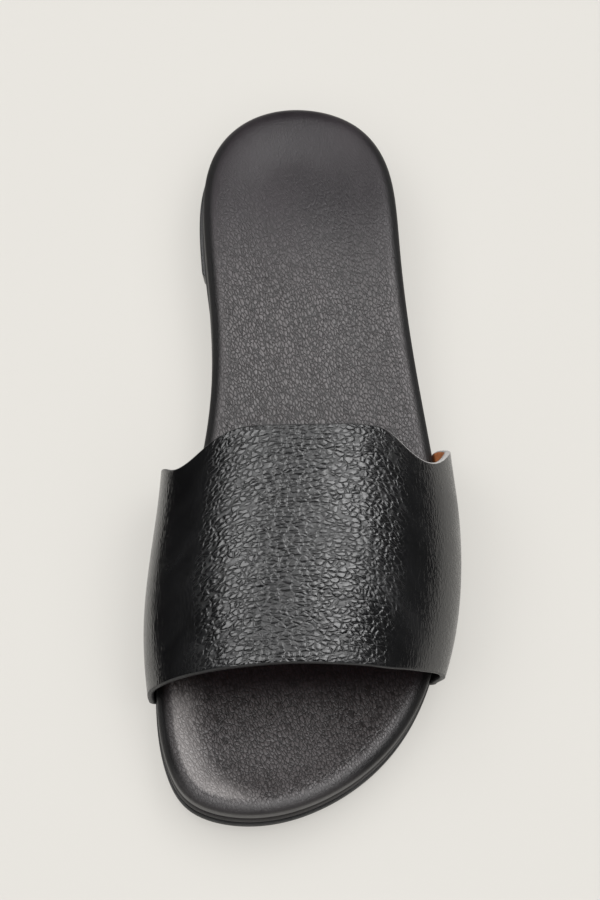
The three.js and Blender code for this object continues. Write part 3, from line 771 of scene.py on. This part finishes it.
def section_point(y, side, part, f, flange=FLANGE_LENGTH):
    """x and z of the strap's middle layer: a share f of the way along one part of its section."""
    y = np.asarray(y, float)
    along = along_of(y)
    bed = underside_z(y) + INSOLE_TOP
    ridge_x, ridge_z = ridge_of(along) * BALL_WIDTH, bed + crown_of(along) * STRAP_RISE + STRAP_WALL / 2
    foot_x = edge_x(y, side) + side * (STRAP_EASE + STRAP_WALL / 2)
    foot_z = underside_z(y) + MIDSOLE_BOTTOM + STRAP_WALL + BEND_INNER_RADIUS
    hip_x = foot_x + side * flare_of[side](along) * STRAP_FLARE
    hip_z = bed + belly_of[side](along) * STRAP_RISE
    if part == "shoulder":
        return (bezier(ridge_x, ridge_x + CROWN_FULLNESS * (hip_x - ridge_x), hip_x, hip_x, f),
                bezier(ridge_z, ridge_z, hip_z + SHOULDER_FULLNESS * (ridge_z - hip_z), hip_z, f))
    if part == "wall":
        return (bezier(hip_x, hip_x, foot_x + FOOT_LEAN * (hip_x - foot_x), foot_x, f),
                bezier(hip_z, hip_z - BELLY_FULLNESS * (hip_z - foot_z),
                       foot_z + FOOT_LEAN * (hip_z - foot_z), foot_z, f))
    radius = BEND_INNER_RADIUS + STRAP_WALL / 2
    turn = math.pi / 2 * (f if part == "bend" else 1)
    run = flange * (f if part == "flange" else 0)
    return foot_x - side * (radius * (1 - math.cos(turn)) + run), foot_z - radius * math.sin(turn)


# %% The strap's wall
SLOPE_STEP = 0.25


def strap_steps(side, counts):
    """Every step of a section from the top to the flange, with its reach: 1 at the foot."""
    steps = [("shoulder", 0.0)]
    for part, count in zip(PARTS, counts):
        steps += [(part, (k + 1) / count) for k in range(count)]
    section = np.array([section_point(y_of(STRAP_AT), side, *step) for step in steps])
    length = np.concatenate([[0], np.cumsum(np.linalg.norm(np.diff(section, axis=0), axis=1))])
    return steps, side * length / length[counts[0] + counts[1]]


def wall_profile(depth_steps, edge_round, edge_steps):
    """Points round the wall, as (share of depth, millimetres in from the edge, side of the wall)."""
    arcs = []
    for k in range(1, 2 * edge_steps):
        a = math.pi * k / (2 * edge_steps)
        arcs.append((edge_round * (1 - math.sin(a)), math.cos(a)))
    face = [(k / depth_steps, 0, 1) for k in range(depth_steps + 1)]
    heel = [(1, inward, level) for inward, level in arcs]
    toe = [(0, inward, -level) for inward, level in arcs]
    return face + heel + [(s, i, -1) for s, i, _ in face[::-1]] + toe


def strap_wall(counts, depth_steps, edge_round, edge_steps, spare=0.0, dents=None):
    profile = wall_profile(depth_steps, edge_round, edge_steps)
    share, inward, level = (np.array(values, float) for values in zip(*profile))
    runs, reaches = [], []
    for side in (MEDIAL, LATERAL):
        steps, reach = strap_steps(side, counts)
        here = list(zip(steps, reach))
        here = here[:0:-1] if side == MEDIAL else here
        for step, r in here:
            runs.append((side, *step))
            reaches.append(float(r))
    rows, tilts = [], []
    for (side, part, f), r in zip(runs, reaches):
        low = y_of(STRAP_AT) + toe_edge(r) * STRAP_DEPTH - spare + edge_round
        high = y_of(STRAP_AT) + heel_edge(r) * STRAP_DEPTH + spare - edge_round
        y = low + share * (high - low)
        past = edge_round - inward
        y = np.where((share == 1) & (np.abs(level) < 1), high + past, y)
        y = np.where((share == 0) & (np.abs(level) < 1), low - past, y)
        flange = FLANGE_LENGTH + spare
        x, z = section_point(y, side, part, f, flange)
        ahead = np.column_stack(section_point(y + SLOPE_STEP, side, part, f, flange))
        behind = np.column_stack(section_point(y - SLOPE_STEP, side, part, f, flange))
        rows.append(np.column_stack([x, y, z]))
        tilt = ahead - behind
        tilts.append(np.column_stack([tilt[:, 0], np.full(len(y), 2 * SLOPE_STEP), tilt[:, 1]]))
    grid = np.array(rows)
    normals = np.cross(np.gradient(grid, axis=0), np.array(tilts))
    normals /= np.linalg.norm(normals, axis=2)[..., None]
    across = np.concatenate([[0], np.cumsum(np.linalg.norm(np.diff(grid, axis=0), axis=2).mean(1))])
    top = int(np.argmin(np.abs(reaches)))
    across -= across[top]
    outer = (STRAP_WALL / 2 + spare) * level
    moved = grid + normals * outer[None, :, None]
    if dents is not None:
        moved = moved + normals * dents(across[:, None], grid[..., 1])[..., None]
    return moved, across, np.array(reaches), len(profile)


def wall_faces(runs, around, depth_steps, edge_steps):
    faces = ring_quads(runs, around)
    arc = 2 * edge_steps - 1
    for start in (0, (runs - 1) * around):
        inner_end = 2 * (depth_steps + 1) + arc - 1
        for k in range(depth_steps):
            faces.append((start + k, start + k + 1, start + inner_end - k - 1, start + inner_end - k))
        faces.append(tuple(start + k for k in range(depth_steps, depth_steps + arc + 2)))
        faces.append((start,) + tuple(start + inner_end + k for k in range(arc + 1)))
    return faces


# %% [markdown]
# ## Creases of the strap
#
# The pebbles are too small to be shaped one by one, and stay in the finish. The wrinkles between
# groups of pebbles are larger. They are listed one by one: each row gives the middle of one wrinkle,
# its length, its slant and its depth, as a soft trough with a low ridge beside it.

# %% Creases listed one by one
# across and along the strap from its top and middle, length, slant in degrees, depth
STRAP_CREASES = [
    (-14, 26, 18, 8, 0.22), (-4, 21, 22, 4, 0.25), (10, 27, 16, -6, 0.2), (-18, 14, 15, 16, 0.2),
    (2, 11, 24, 2, 0.22), (18, 15, 15, -18, 0.22), (-9, 3, 20, 7, 0.2), (12, 4, 18, -8, 0.22),
    (-20, -4, 14, 18, 0.18), (4, -7, 22, -2, 0.24), (20, -6, 13, -22, 0.2), (-10, -14, 18, 6, 0.2),
    (9, -17, 17, -8, 0.22), (-3, -25, 20, 2, 0.2), (17, -26, 12, -20, 0.18), (-18, -24, 13, 14, 0.18),
]
CREASE_WIDTH, CREASE_SHARE = 1.5, 0.4


def strap_dents(across, y):
    u, v = across + 0 * y, y - y_of(STRAP_AT) + 0 * across
    total = np.zeros(u.shape)
    for at_u, at_v, length, slant, depth in STRAP_CREASES:
        c, s = math.cos(math.radians(slant)), math.sin(math.radians(slant))
        lengthwise = (u - at_u) * c + (v - at_v) * s
        sideways = -(u - at_u) * s + (v - at_v) * c
        bow = sideways - lengthwise ** 2 / (3 * length)
        trough = -np.exp(-(bow / CREASE_WIDTH) ** 2)
        ridge = 0.6 * np.exp(-((bow - 1.7 * CREASE_WIDTH) / CREASE_WIDTH) ** 2)
        total += CREASE_SHARE * depth * (trough + ridge) * np.exp(-(lengthwise / (length / 2)) ** 4)
    return total


# %% Strap
WALL_COUNTS, DEPTH_COUNT, EDGE_COUNT, EDGE_ROUND = (76, 26, 6, 4), 96, 3, 0.5
walls, across, reaches, around = strap_wall(
    WALL_COUNTS, DEPTH_COUNT, EDGE_ROUND, EDGE_COUNT, dents=strap_dents)
runs = len(across)
faces = wall_faces(runs, around, DEPTH_COUNT, EDGE_COUNT)
OUTER, EDGE, INNER = 0, 1, 2
EDGE_FACES = 2 * EDGE_COUNT
round_the_wall = ([OUTER] * DEPTH_COUNT + [EDGE] * EDGE_FACES + [INNER] * DEPTH_COUNT
                  + [EDGE] * (around - 2 * DEPTH_COUNT - EDGE_FACES))
face_finish = round_the_wall * (runs - 1) + [EDGE] * (len(faces) - around * (runs - 1))

# %% Flat pattern and marks of the strap
# The grain lies on a flat pattern of the band. Pebbles are longer across the foot than along it, and
# their rows slant towards the toe on both sides, as the leather was pulled down over the last.
SLANT_FROM, SLANT_PACE, SLANT_MOST = 12, 40, 30
MEDIAL_SLANT, LATERAL_SLANT, PEBBLE_STRETCH = 0.45, 0.7, 0.62
sideways = np.maximum(np.abs(across) - SLANT_FROM, 0) ** 2 / SLANT_PACE
slant = np.minimum(sideways, SLANT_MOST) * np.where(across < 0, MEDIAL_SLANT, LATERAL_SLANT)
u = np.repeat(across[:, None], around, 1) * PEBBLE_STRETCH
v = walls[..., 1] + slant[:, None]
strap_uv = np.stack([u, v], -1).reshape(-1, 2) / 1000

# each pair of millimetres says where a mark starts and where it is full
PEBBLES_IN, PEBBLES_OUT, PEBBLES_BACK, WALL_PEBBLES = (-39, -29), (35, 25), (45, 55), 0.5
HIGHLIGHT_ACROSS, HIGHLIGHT_BEHIND, LINING_SHADE_END = (22, 30), (0, 5), (9, 5)
pebbled = np.maximum(rise(across, *PEBBLES_IN) * rise(across, *PEBBLES_OUT),
                     WALL_PEBBLES * rise(across, *PEBBLES_BACK))
# Painted highlight on the cut edge in the notch on the outer side.
notch_highlight = rise(across, *HIGHLIGHT_ACROSS)[:, None] * rise(walls[..., 1] - y_of(STRAP_AT), *HIGHLIGHT_BEHIND)
# Painted shade on the lining near the toe edge.
lining_shade = rise(walls[..., 1] - walls[..., 1].min(1)[:, None], *LINING_SHADE_END)
strap = make_piece("strap_upper", walls.reshape(-1, 3), faces,
                   [strap_leather, edge_paint, lining_leather], face_finish, strap_uv,
                   {"pebbled": np.repeat(pebbled, around), "notch_highlight": notch_highlight.ravel(),
                    "lining_shade": lining_shade.ravel()})

# %% [markdown]
# ## The midsole
#
# A thin board is wrapped in smooth leather, and the wrap makes its edge bulge a little. On each side
# the strap turns in under it, so the board has a pocket there. The pocket is cut with the strap's
# own wall, grown by the seam, by a Boolean modifier whose result is kept as a plain mesh.

# %% Midsole
WRAP_BULGE = 1.1


def wrap_profile(bottom, top, steps=12):
    middle, half = (bottom + top) / 2, (top - bottom) / 2
    profile = []
    for k in range(steps + 1):
        a = math.pi * (k / steps - 0.5)
        bulge = abs(math.cos(a)) ** 0.7
        profile.append((lambda y, b=bulge: -WRAP_BULGE * (1 - b) + 0 * y,
                        over_underside(middle + half * math.copysign(abs(math.sin(a)) ** 0.85, a))))
    return profile


points, faces = sole_layer(EDGE_RING, wrap_profile(MIDSOLE_BOTTOM, MIDSOLE_TOP),
                           flat_over_underside(MIDSOLE_BOTTOM), flat_over_underside(MIDSOLE_TOP),
                           PLAIN_FILL, PLAIN_FILL)
board = make_piece("midsole_board", points, faces, [wrap_leather])
cutter_walls, _, _, cutter_around = strap_wall((13, 8, 5, 2), 40, 0.0, 1, spare=SEAM)
cutter = make_piece("pocket_cutter", cutter_walls.reshape(-1, 3),
                    wall_faces(len(cutter_walls), cutter_around, 40, 1), [wrap_leather])
pocket = board.modifiers.new("pocket", "BOOLEAN")
pocket.operation, pocket.solver, pocket.object = "DIFFERENCE", "EXACT", cutter


def kept_mesh(piece, name):
    """The evaluated result of a piece's modifiers as a plain mesh object."""
    depsgraph = bpy.context.evaluated_depsgraph_get()
    mesh = bpy.data.meshes.new_from_object(piece.evaluated_get(depsgraph))
    mesh.name = name
    kept = bpy.data.objects.new(name, mesh)
    bpy.context.scene.collection.objects.link(kept)
    bpy.data.objects.remove(piece)
    return kept


midsole = kept_mesh(board, "wrapped_midsole")
bpy.data.objects.remove(cutter)
midsole.data.set_sharp_from_angle(angle=math.radians(40))
print("midsole after the pocket:", len(midsole.data.vertices), "points")

# %% [markdown]
# ## The padded footbed
#
# The pad has a rolled edge, a low rim inside it and a swell under the arch. At the outer side of the
# toes the leather is gathered round the tight curve, which leaves a row of small pleats on the rim.
# The pleats are real relief, so the ring of points is closer there than elsewhere. Where the leather
# is wrinkled, where its rolled edge is painted dark as shade and where its open leather gets a
# painted sheen is kept as marks, one number on every point for each.

# %% Creases of the footbed
PLEATS_FROM, PLEATS_TO = 0.86, 0.985
PLEAT_PITCH, PLEAT_DEPTH, PLEAT_WIDTH = 1.15, 0.15, 4.0
PLEAT_SIDE, PLEAT_FADE, PLEAT_END, PLEAT_IN = 0.65, 3, 0.03, (2, 3.5)
PLEAT_LEAN, PLEAT_RUN = 0.9, 1.35


def bed_creases(x, y, inset):
    along = along_of(y)
    middle = edge_x(y, MEDIAL) * (1 - PLEAT_SIDE) + edge_x(y, LATERAL) * PLEAT_SIDE
    lateral = rise(x - middle, -PLEAT_FADE, PLEAT_FADE)
    stretch = rise(along, PLEATS_FROM, PLEATS_FROM + PLEAT_END)
    stretch = stretch * rise(along, PLEATS_TO, PLEATS_TO - PLEAT_END)
    band = rise(inset, *PLEAT_IN) * (1 - rise(inset, ROLL_WIDTH - 1, ROLL_WIDTH - 1 + PLEAT_WIDTH))
    run = (x - PLEAT_LEAN * y) / PLEAT_RUN
    wander = 1.3 * np.sin(run / 2.3) + 0.7 * np.sin(run / 0.9)
    return PLEAT_DEPTH * np.sin(TURN * run / PLEAT_PITCH + wander) * lateral * stretch * band


# %% Top of the footbed
# The toes rest in a shallow hollow behind the rim.
TOE_CUP, CUP_IN, CUP_ALONG = 0.9, (4, 13), (0.74, 0.82)


def bed_top(plan):
    inset = edge_distance(plan)
    cup = rise(inset, *CUP_IN) * rise(along_of(plan[:, 1]), *CUP_ALONG)
    return footbed_z(plan[:, 0], plan[:, 1], inset) - TOE_CUP * cup


# %% Shape of the footbed
# from, to (in half turns from the heel) and number of points, closer where the pleats are
RING_STRETCHES = [(0, 0.74, 170), (0.74, 0.97, 380), (0.97, 2, 230)]
ROLL_STEPS, BED_BREAK = 12, 0.45
bed_ring = np.concatenate([np.linspace(start, end, count, endpoint=False)
                           for start, end, count in RING_STRETCHES]) * math.pi
bed_profile = [(lambda y: -BED_BREAK + 0 * y, over_underside(INSOLE_BOTTOM)),
               (lambda y: 0 * y, over_underside(INSOLE_BOTTOM + BED_BREAK))]
for k in range(ROLL_STEPS + 1):
    turn = math.pi / 2 * k / ROLL_STEPS
    bed_profile.append((lambda y, t=turn: -ROLL_WIDTH * (1 - math.cos(t)) + 0 * y,
                        lambda x, y, t=turn: footbed_z(x, y, ROLL_WIDTH) - ROLL_DROP * (1 - math.sin(t))))
bed_fill = np.concatenate([np.linspace(0, 0.45, 41)[1:], np.linspace(0.45, 1, 19)[1:]])
points, faces = sole_layer(bed_ring, bed_profile, flat_over_underside(INSOLE_BOTTOM), bed_top,
                           PLAIN_FILL, bed_fill)
inset = edge_distance(points[:, :2])
upper = points[:, 2] > underside_z(points[:, 1]) + INSOLE_TOP - 0.9 * ROLL_DROP
points[:, 2] += np.where(upper, bed_creases(points[:, 0], points[:, 1], inset), 0)

# %% Marks of the footbed
# Each pair says where a mark starts and where it is full, as a share of the length or in
# millimetres from the edge. The marks are read by the footbed's finish.
WRINKLES_ALONG, WRINKLES_IN, HEEL_WRINKLES, EDGE_WRINKLES = (0.06, 0.32), (1, 6), 0.25, 0.3
ROLL_OUT, HEEL_ROLL, TOE_ROLL = (3.8, 1.7), (0.1, 0.02), (0.92, 0.98)
HEEL_ROLL_SHARE, TOE_ROLL_SHARE = 0.75, 0.4
SHEEN_IN, SHEEN_OUT, SHEEN_ACROSS, SHEEN_ALONG = (3.2, 5.4), (22, 5), (32, 8), (0.8, 0.85)
OPEN_TOE, OPEN_HEEL, UNDER_STRAP, OPEN_SHEEN = (0.8, 0.86), (0.12, 0.32), (0.6, 0.5), 0.25
along = along_of(points[:, 1])
from_medial = points[:, 0] - edge_x(points[:, 1], MEDIAL)
wrinkled = HEEL_WRINKLES + (1 - HEEL_WRINKLES) * rise(along, *WRINKLES_ALONG)
wrinkled *= EDGE_WRINKLES + (1 - EDGE_WRINKLES) * rise(inset, *WRINKLES_IN)
# Painted shade on the rolled edge, weaker at the heel and at the toe.
rolled_edge_shade = rise(inset, *ROLL_OUT)
rolled_edge_shade *= 1 - HEEL_ROLL_SHARE * rise(along, *HEEL_ROLL) - TOE_ROLL_SHARE * rise(along, *TOE_ROLL)
# Painted sheen: lighter on the inner toe slope and on the open leather, while the leather under the strap
# stays darker as painted shade.
toe_slope = rise(inset, *SHEEN_IN) * rise(inset, *SHEEN_OUT) * rise(from_medial, *SHEEN_ACROSS)
open_leather = rise(along, *OPEN_TOE) + rise(along, *OPEN_HEEL) * rise(along, *UNDER_STRAP)
painted_sheen = np.maximum(toe_slope * rise(along, *SHEEN_ALONG), OPEN_SHEEN * open_leather)
footbed = make_piece("padded_footbed", points, faces, [footbed_leather],
                     marks={"wrinkled": wrinkled, "rolled_edge_shade": rolled_edge_shade, "painted_sheen": painted_sheen})

# %% [markdown]
# ## The tread
#
# Nobody sees the underside in the photograph, so it gets what such a sole usually has: fine cross
# ribs under the forefoot and under the heel. Geometry Nodes set one half-round bar on each point of a
# row. Every point carries the width of the hollow at its place and the slope of the sole.

# %% A rib on every point
rib_nodes = bpy.data.node_groups.new("tread_ribs", "GeometryNodeTree")
for label, kind, value in [("Rows", "NodeSocketGeometry", None),
                           ("Rib width", "NodeSocketFloat", 0.0014),
                           ("Rib height", "NodeSocketFloat", 0.0005),
                           ("Rubber", "NodeSocketMaterial", None)]:
    socket = rib_nodes.interface.new_socket(label, in_out="INPUT", socket_type=kind)
    if value is not None:
        socket.default_value = value
rib_nodes.interface.new_socket("Ribs", in_out="OUTPUT", socket_type="NodeSocketGeometry")
given, put = rib_nodes.nodes.new("NodeGroupInput"), rib_nodes.nodes.new("NodeGroupOutput")


def read_mark(mark):
    node = add(rib_nodes, "GeometryNodeInputNamedAttribute", {"Name": mark}, data_type="FLOAT")
    return [s for s in node.outputs if s.enabled and s.name == "Attribute"][0]


bar = add(rib_nodes, "GeometryNodeMeshCylinder", {"Vertices": 14, "Radius": 0.5, "Depth": 1.0})
lying = add(rib_nodes, "GeometryNodeTransform", {"Geometry": bar.outputs["Mesh"],
                                                 "Rotation": (0, math.pi / 2, 0)})
stand = add(rib_nodes, "GeometryNodeInstanceOnPoints", {
    "Points": given.outputs["Rows"], "Instance": lying.outputs["Geometry"],
    "Rotation": add(rib_nodes, "ShaderNodeCombineXYZ", {"X": read_mark("slope")}).outputs[0],
    "Scale": add(rib_nodes, "ShaderNodeCombineXYZ", {
        "X": read_mark("span"), "Y": given.outputs["Rib width"],
        "Z": math_of(rib_nodes, "MULTIPLY", given.outputs["Rib height"], 2.0)}).outputs[0]})
real = add(rib_nodes, "GeometryNodeRealizeInstances", {"Geometry": stand.outputs[0]})
shod = add(rib_nodes, "GeometryNodeSetMaterial", {"Geometry": real.outputs[0],
                                                  "Material": given.outputs["Rubber"]})
rib_nodes.links.new(shod.outputs[0], put.inputs["Ribs"])

# %% Rows of ribs
RIB_PITCH, RIB_WIDTH, RIB_GAP = 2.8, 1.5, 0.25
TREAD_ROWS_FROM, TREAD_ROWS_TO, TREAD_SKEW, HEEL_SKEW = 0.5, 0.955, 1.15, 0.4


def rib_row(y, inset, z, slope):
    return edge_x(y, MEDIAL) + inset, edge_x(y, LATERAL) - inset, y, z, slope


def rib_rows():
    """A row for each rib: its medial end, its lateral end, y, z and the slope of the sole there."""
    for y in np.arange(y_of(TREAD_ROWS_TO), y_of(TREAD_ROWS_FROM), RIB_PITCH):
        steepness = underside_z(y + 0.5) - underside_z(y - 0.5)
        inset = (TREAD_BORDER + RIB_GAP - outsole_lip(y)) * TREAD_SKEW
        yield rib_row(y, inset, underside_z(y), math.atan(steepness))
    first, last = breast_y + TREAD_BORDER + RIB_PITCH, y_of(0) - TREAD_BORDER - 2 * RIB_PITCH
    for y in np.arange(first, last, RIB_PITCH):
        squareness = max(math.sin(float(angle_of(along_of(y)))), HEEL_SKEW)
        yield rib_row(y, (TREAD_BORDER + RIB_GAP - HEEL_LIP + HEEL_DRAFT) / squareness, 0.0, 0.0)


rows = np.array(list(rib_rows()), float)
row_mesh = bpy.data.meshes.new("rib_rows")
row_points = np.column_stack([(rows[:, 0] + rows[:, 1]) / 2, rows[:, 2], rows[:, 3] + RIB_HEIGHT])
row_mesh.from_pydata(((row_points + shift) / 1000).tolist(), [], [])
for mark, amounts in (("span", (rows[:, 1] - rows[:, 0]) / 1000), ("slope", rows[:, 4])):
    row_mesh.attributes.new(mark, "FLOAT", "POINT").data.foreach_set("value", amounts.astype(np.float32))
row_holder = bpy.data.objects.new("rib_rows", row_mesh)
bpy.context.scene.collection.objects.link(row_holder)
ribbed = row_holder.modifiers.new("ribs", "NODES")
ribbed.node_group = rib_nodes
rib_inputs = {"Rib width": RIB_WIDTH / 1000, "Rib height": RIB_HEIGHT / 1000, "Rubber": outsole_rubber}
for item in rib_nodes.interface.items_tree:
    if item.in_out == "INPUT" and item.name in rib_inputs:
        ribbed[item.identifier] = rib_inputs[item.name]
ribs = kept_mesh(row_holder, "tread_ribs")
print("ribs:", len(rows), "rows,", len(ribs.data.polygons), "faces")

# %% [markdown]
# ## Every piece stands for its CAD node
#
# The sandal has no joints, so each piece rides on the one body. The frame keeps the CAD nodes for
# collisions and hides those that a finer piece stands for.

# %% Hand the pieces to the frame
for piece, node in ((outsole, "outsole"), (heel, "heel"), (midsole, "midsole"),
                    (footbed, "insole"), (strap, "strap")):
    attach(piece, "root")
    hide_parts(node)
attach(ribs, "root")

# %% [markdown]
# ## Studio
#
# The photograph has a plain pale ground, hardly any shadow, and soft light from three boxes over the
# heel side of the shoe: one in the middle and one on each side. Black leather shows little but what
# it mirrors, so the boxes draw the broad highlights on the strap. A large fill lights the colours
# without being seen in the gloss, and the paper glows a little, which leaves only a faint shadow.

# %% Floor
FLOOR_SIZE, FLOOR_COLOUR, FLOOR_GLOW = 6.0, (0.105, 0.102, 0.096), (0.46, 0.447, 0.42, 1)
paper, tree, surface = new_finish("paper_floor", Roughness=0.9, Specular_IOR_Level=0.1,
                                  Emission_Color=FLOOR_GLOW, Emission_Strength=1.0)
tone = place_group(tree, mottle, {"Place": place_on(tree), "Patches per metre": 3.0})
tree.links.new(blend_colours(tree, tone.outputs["Tone"], FLOOR_COLOUR, [c * 1.01 for c in FLOOR_COLOUR]),
               surface.inputs["Base Color"])
floor_mesh = bpy.data.meshes.new("floor")
half = FLOOR_SIZE / 2
floor_mesh.from_pydata([(-half, -half, 0), (half, -half, 0), (half, half, 0), (-half, half, 0)], [],
                       [(0, 1, 2, 3)])
floor_mesh.materials.append(paper)
floor = bpy.data.objects.new("floor", floor_mesh)
bpy.context.scene.collection.objects.link(floor)

# %% Lights
world = bpy.data.worlds.new("studio")
bpy.context.scene.world = world
world.use_nodes = True
world.node_tree.nodes["Background"].inputs["Color"].default_value = (0.98, 0.99, 1.0, 1)
world.node_tree.nodes["Background"].inputs["Strength"].default_value = 0.05


# name, place in metres, size in metres, watts, whether the gloss of the leather mirrors it
SOFTBOXES = [
    ("top_box", (0.22, 0.24, 1.40), (1.1, 1.15), 5.2, True),
    ("right_box", (0.50, 0.20, 1.30), (0.5, 1.2), 7.4, True),
    ("left_box", (-0.72, 0.14, 1.20), (0.6, 1.1), 7.8, True),
    ("fill", (-0.1, 0.0, 2.4), (6.0, 6.0), 420, False),
]
LIGHTS_AIM = Vector((0, -0.04, 0.03))


def softbox(name, place, size, power, in_gloss):
    """An area light turned to the shoe, with its first side level and along the world's X."""
    light = bpy.data.lights.new(name, "AREA")
    light.shape, light.size, light.size_y, light.energy = "RECTANGLE", size[0], size[1], power
    holder = bpy.data.objects.new(name, light)
    holder.location = place
    facing = (Vector(place) - LIGHTS_AIM).normalized()
    across = (Vector((1, 0, 0)) - facing.x * facing).normalized()
    holder.rotation_mode = "QUATERNION"
    turned = Matrix((across, facing.cross(across), facing)).transposed()
    holder.rotation_quaternion = turned.to_quaternion()
    holder.visible_glossy = in_gloss
    bpy.context.scene.collection.objects.link(holder)


for row in SOFTBOXES:
    softbox(*row)

# %% Black flag
# A card beside the medial side is seen only by the gloss of the leather, and keeps that side dark.
FLAG_X, FLAG_FROM, FLAG_TO, FLAG_LOW, FLAG_HIGH = -0.078, -0.16, 0.13, 0.012, 0.11
flag_mesh = bpy.data.meshes.new("flag")
flag_mesh.from_pydata([(FLAG_X, FLAG_FROM, FLAG_LOW), (FLAG_X, FLAG_TO, FLAG_LOW),
                       (FLAG_X, FLAG_TO, FLAG_HIGH), (FLAG_X, FLAG_FROM, FLAG_HIGH)], [],
                      [(0, 1, 2, 3)])
flag_mesh.materials.append(rubber("flag_cloth", 0.004, 0.006, 0.9, 1.0))
flag = bpy.data.objects.new("flag", flag_mesh)
bpy.context.scene.collection.objects.link(flag)
flag.visible_camera = flag.visible_diffuse = flag.visible_shadow = flag.visible_transmission = False

# %% Colours as they are
# The plain transform keeps the paper as pale as it is in the photograph.
bpy.context.scene.view_settings.view_transform = "Standard"
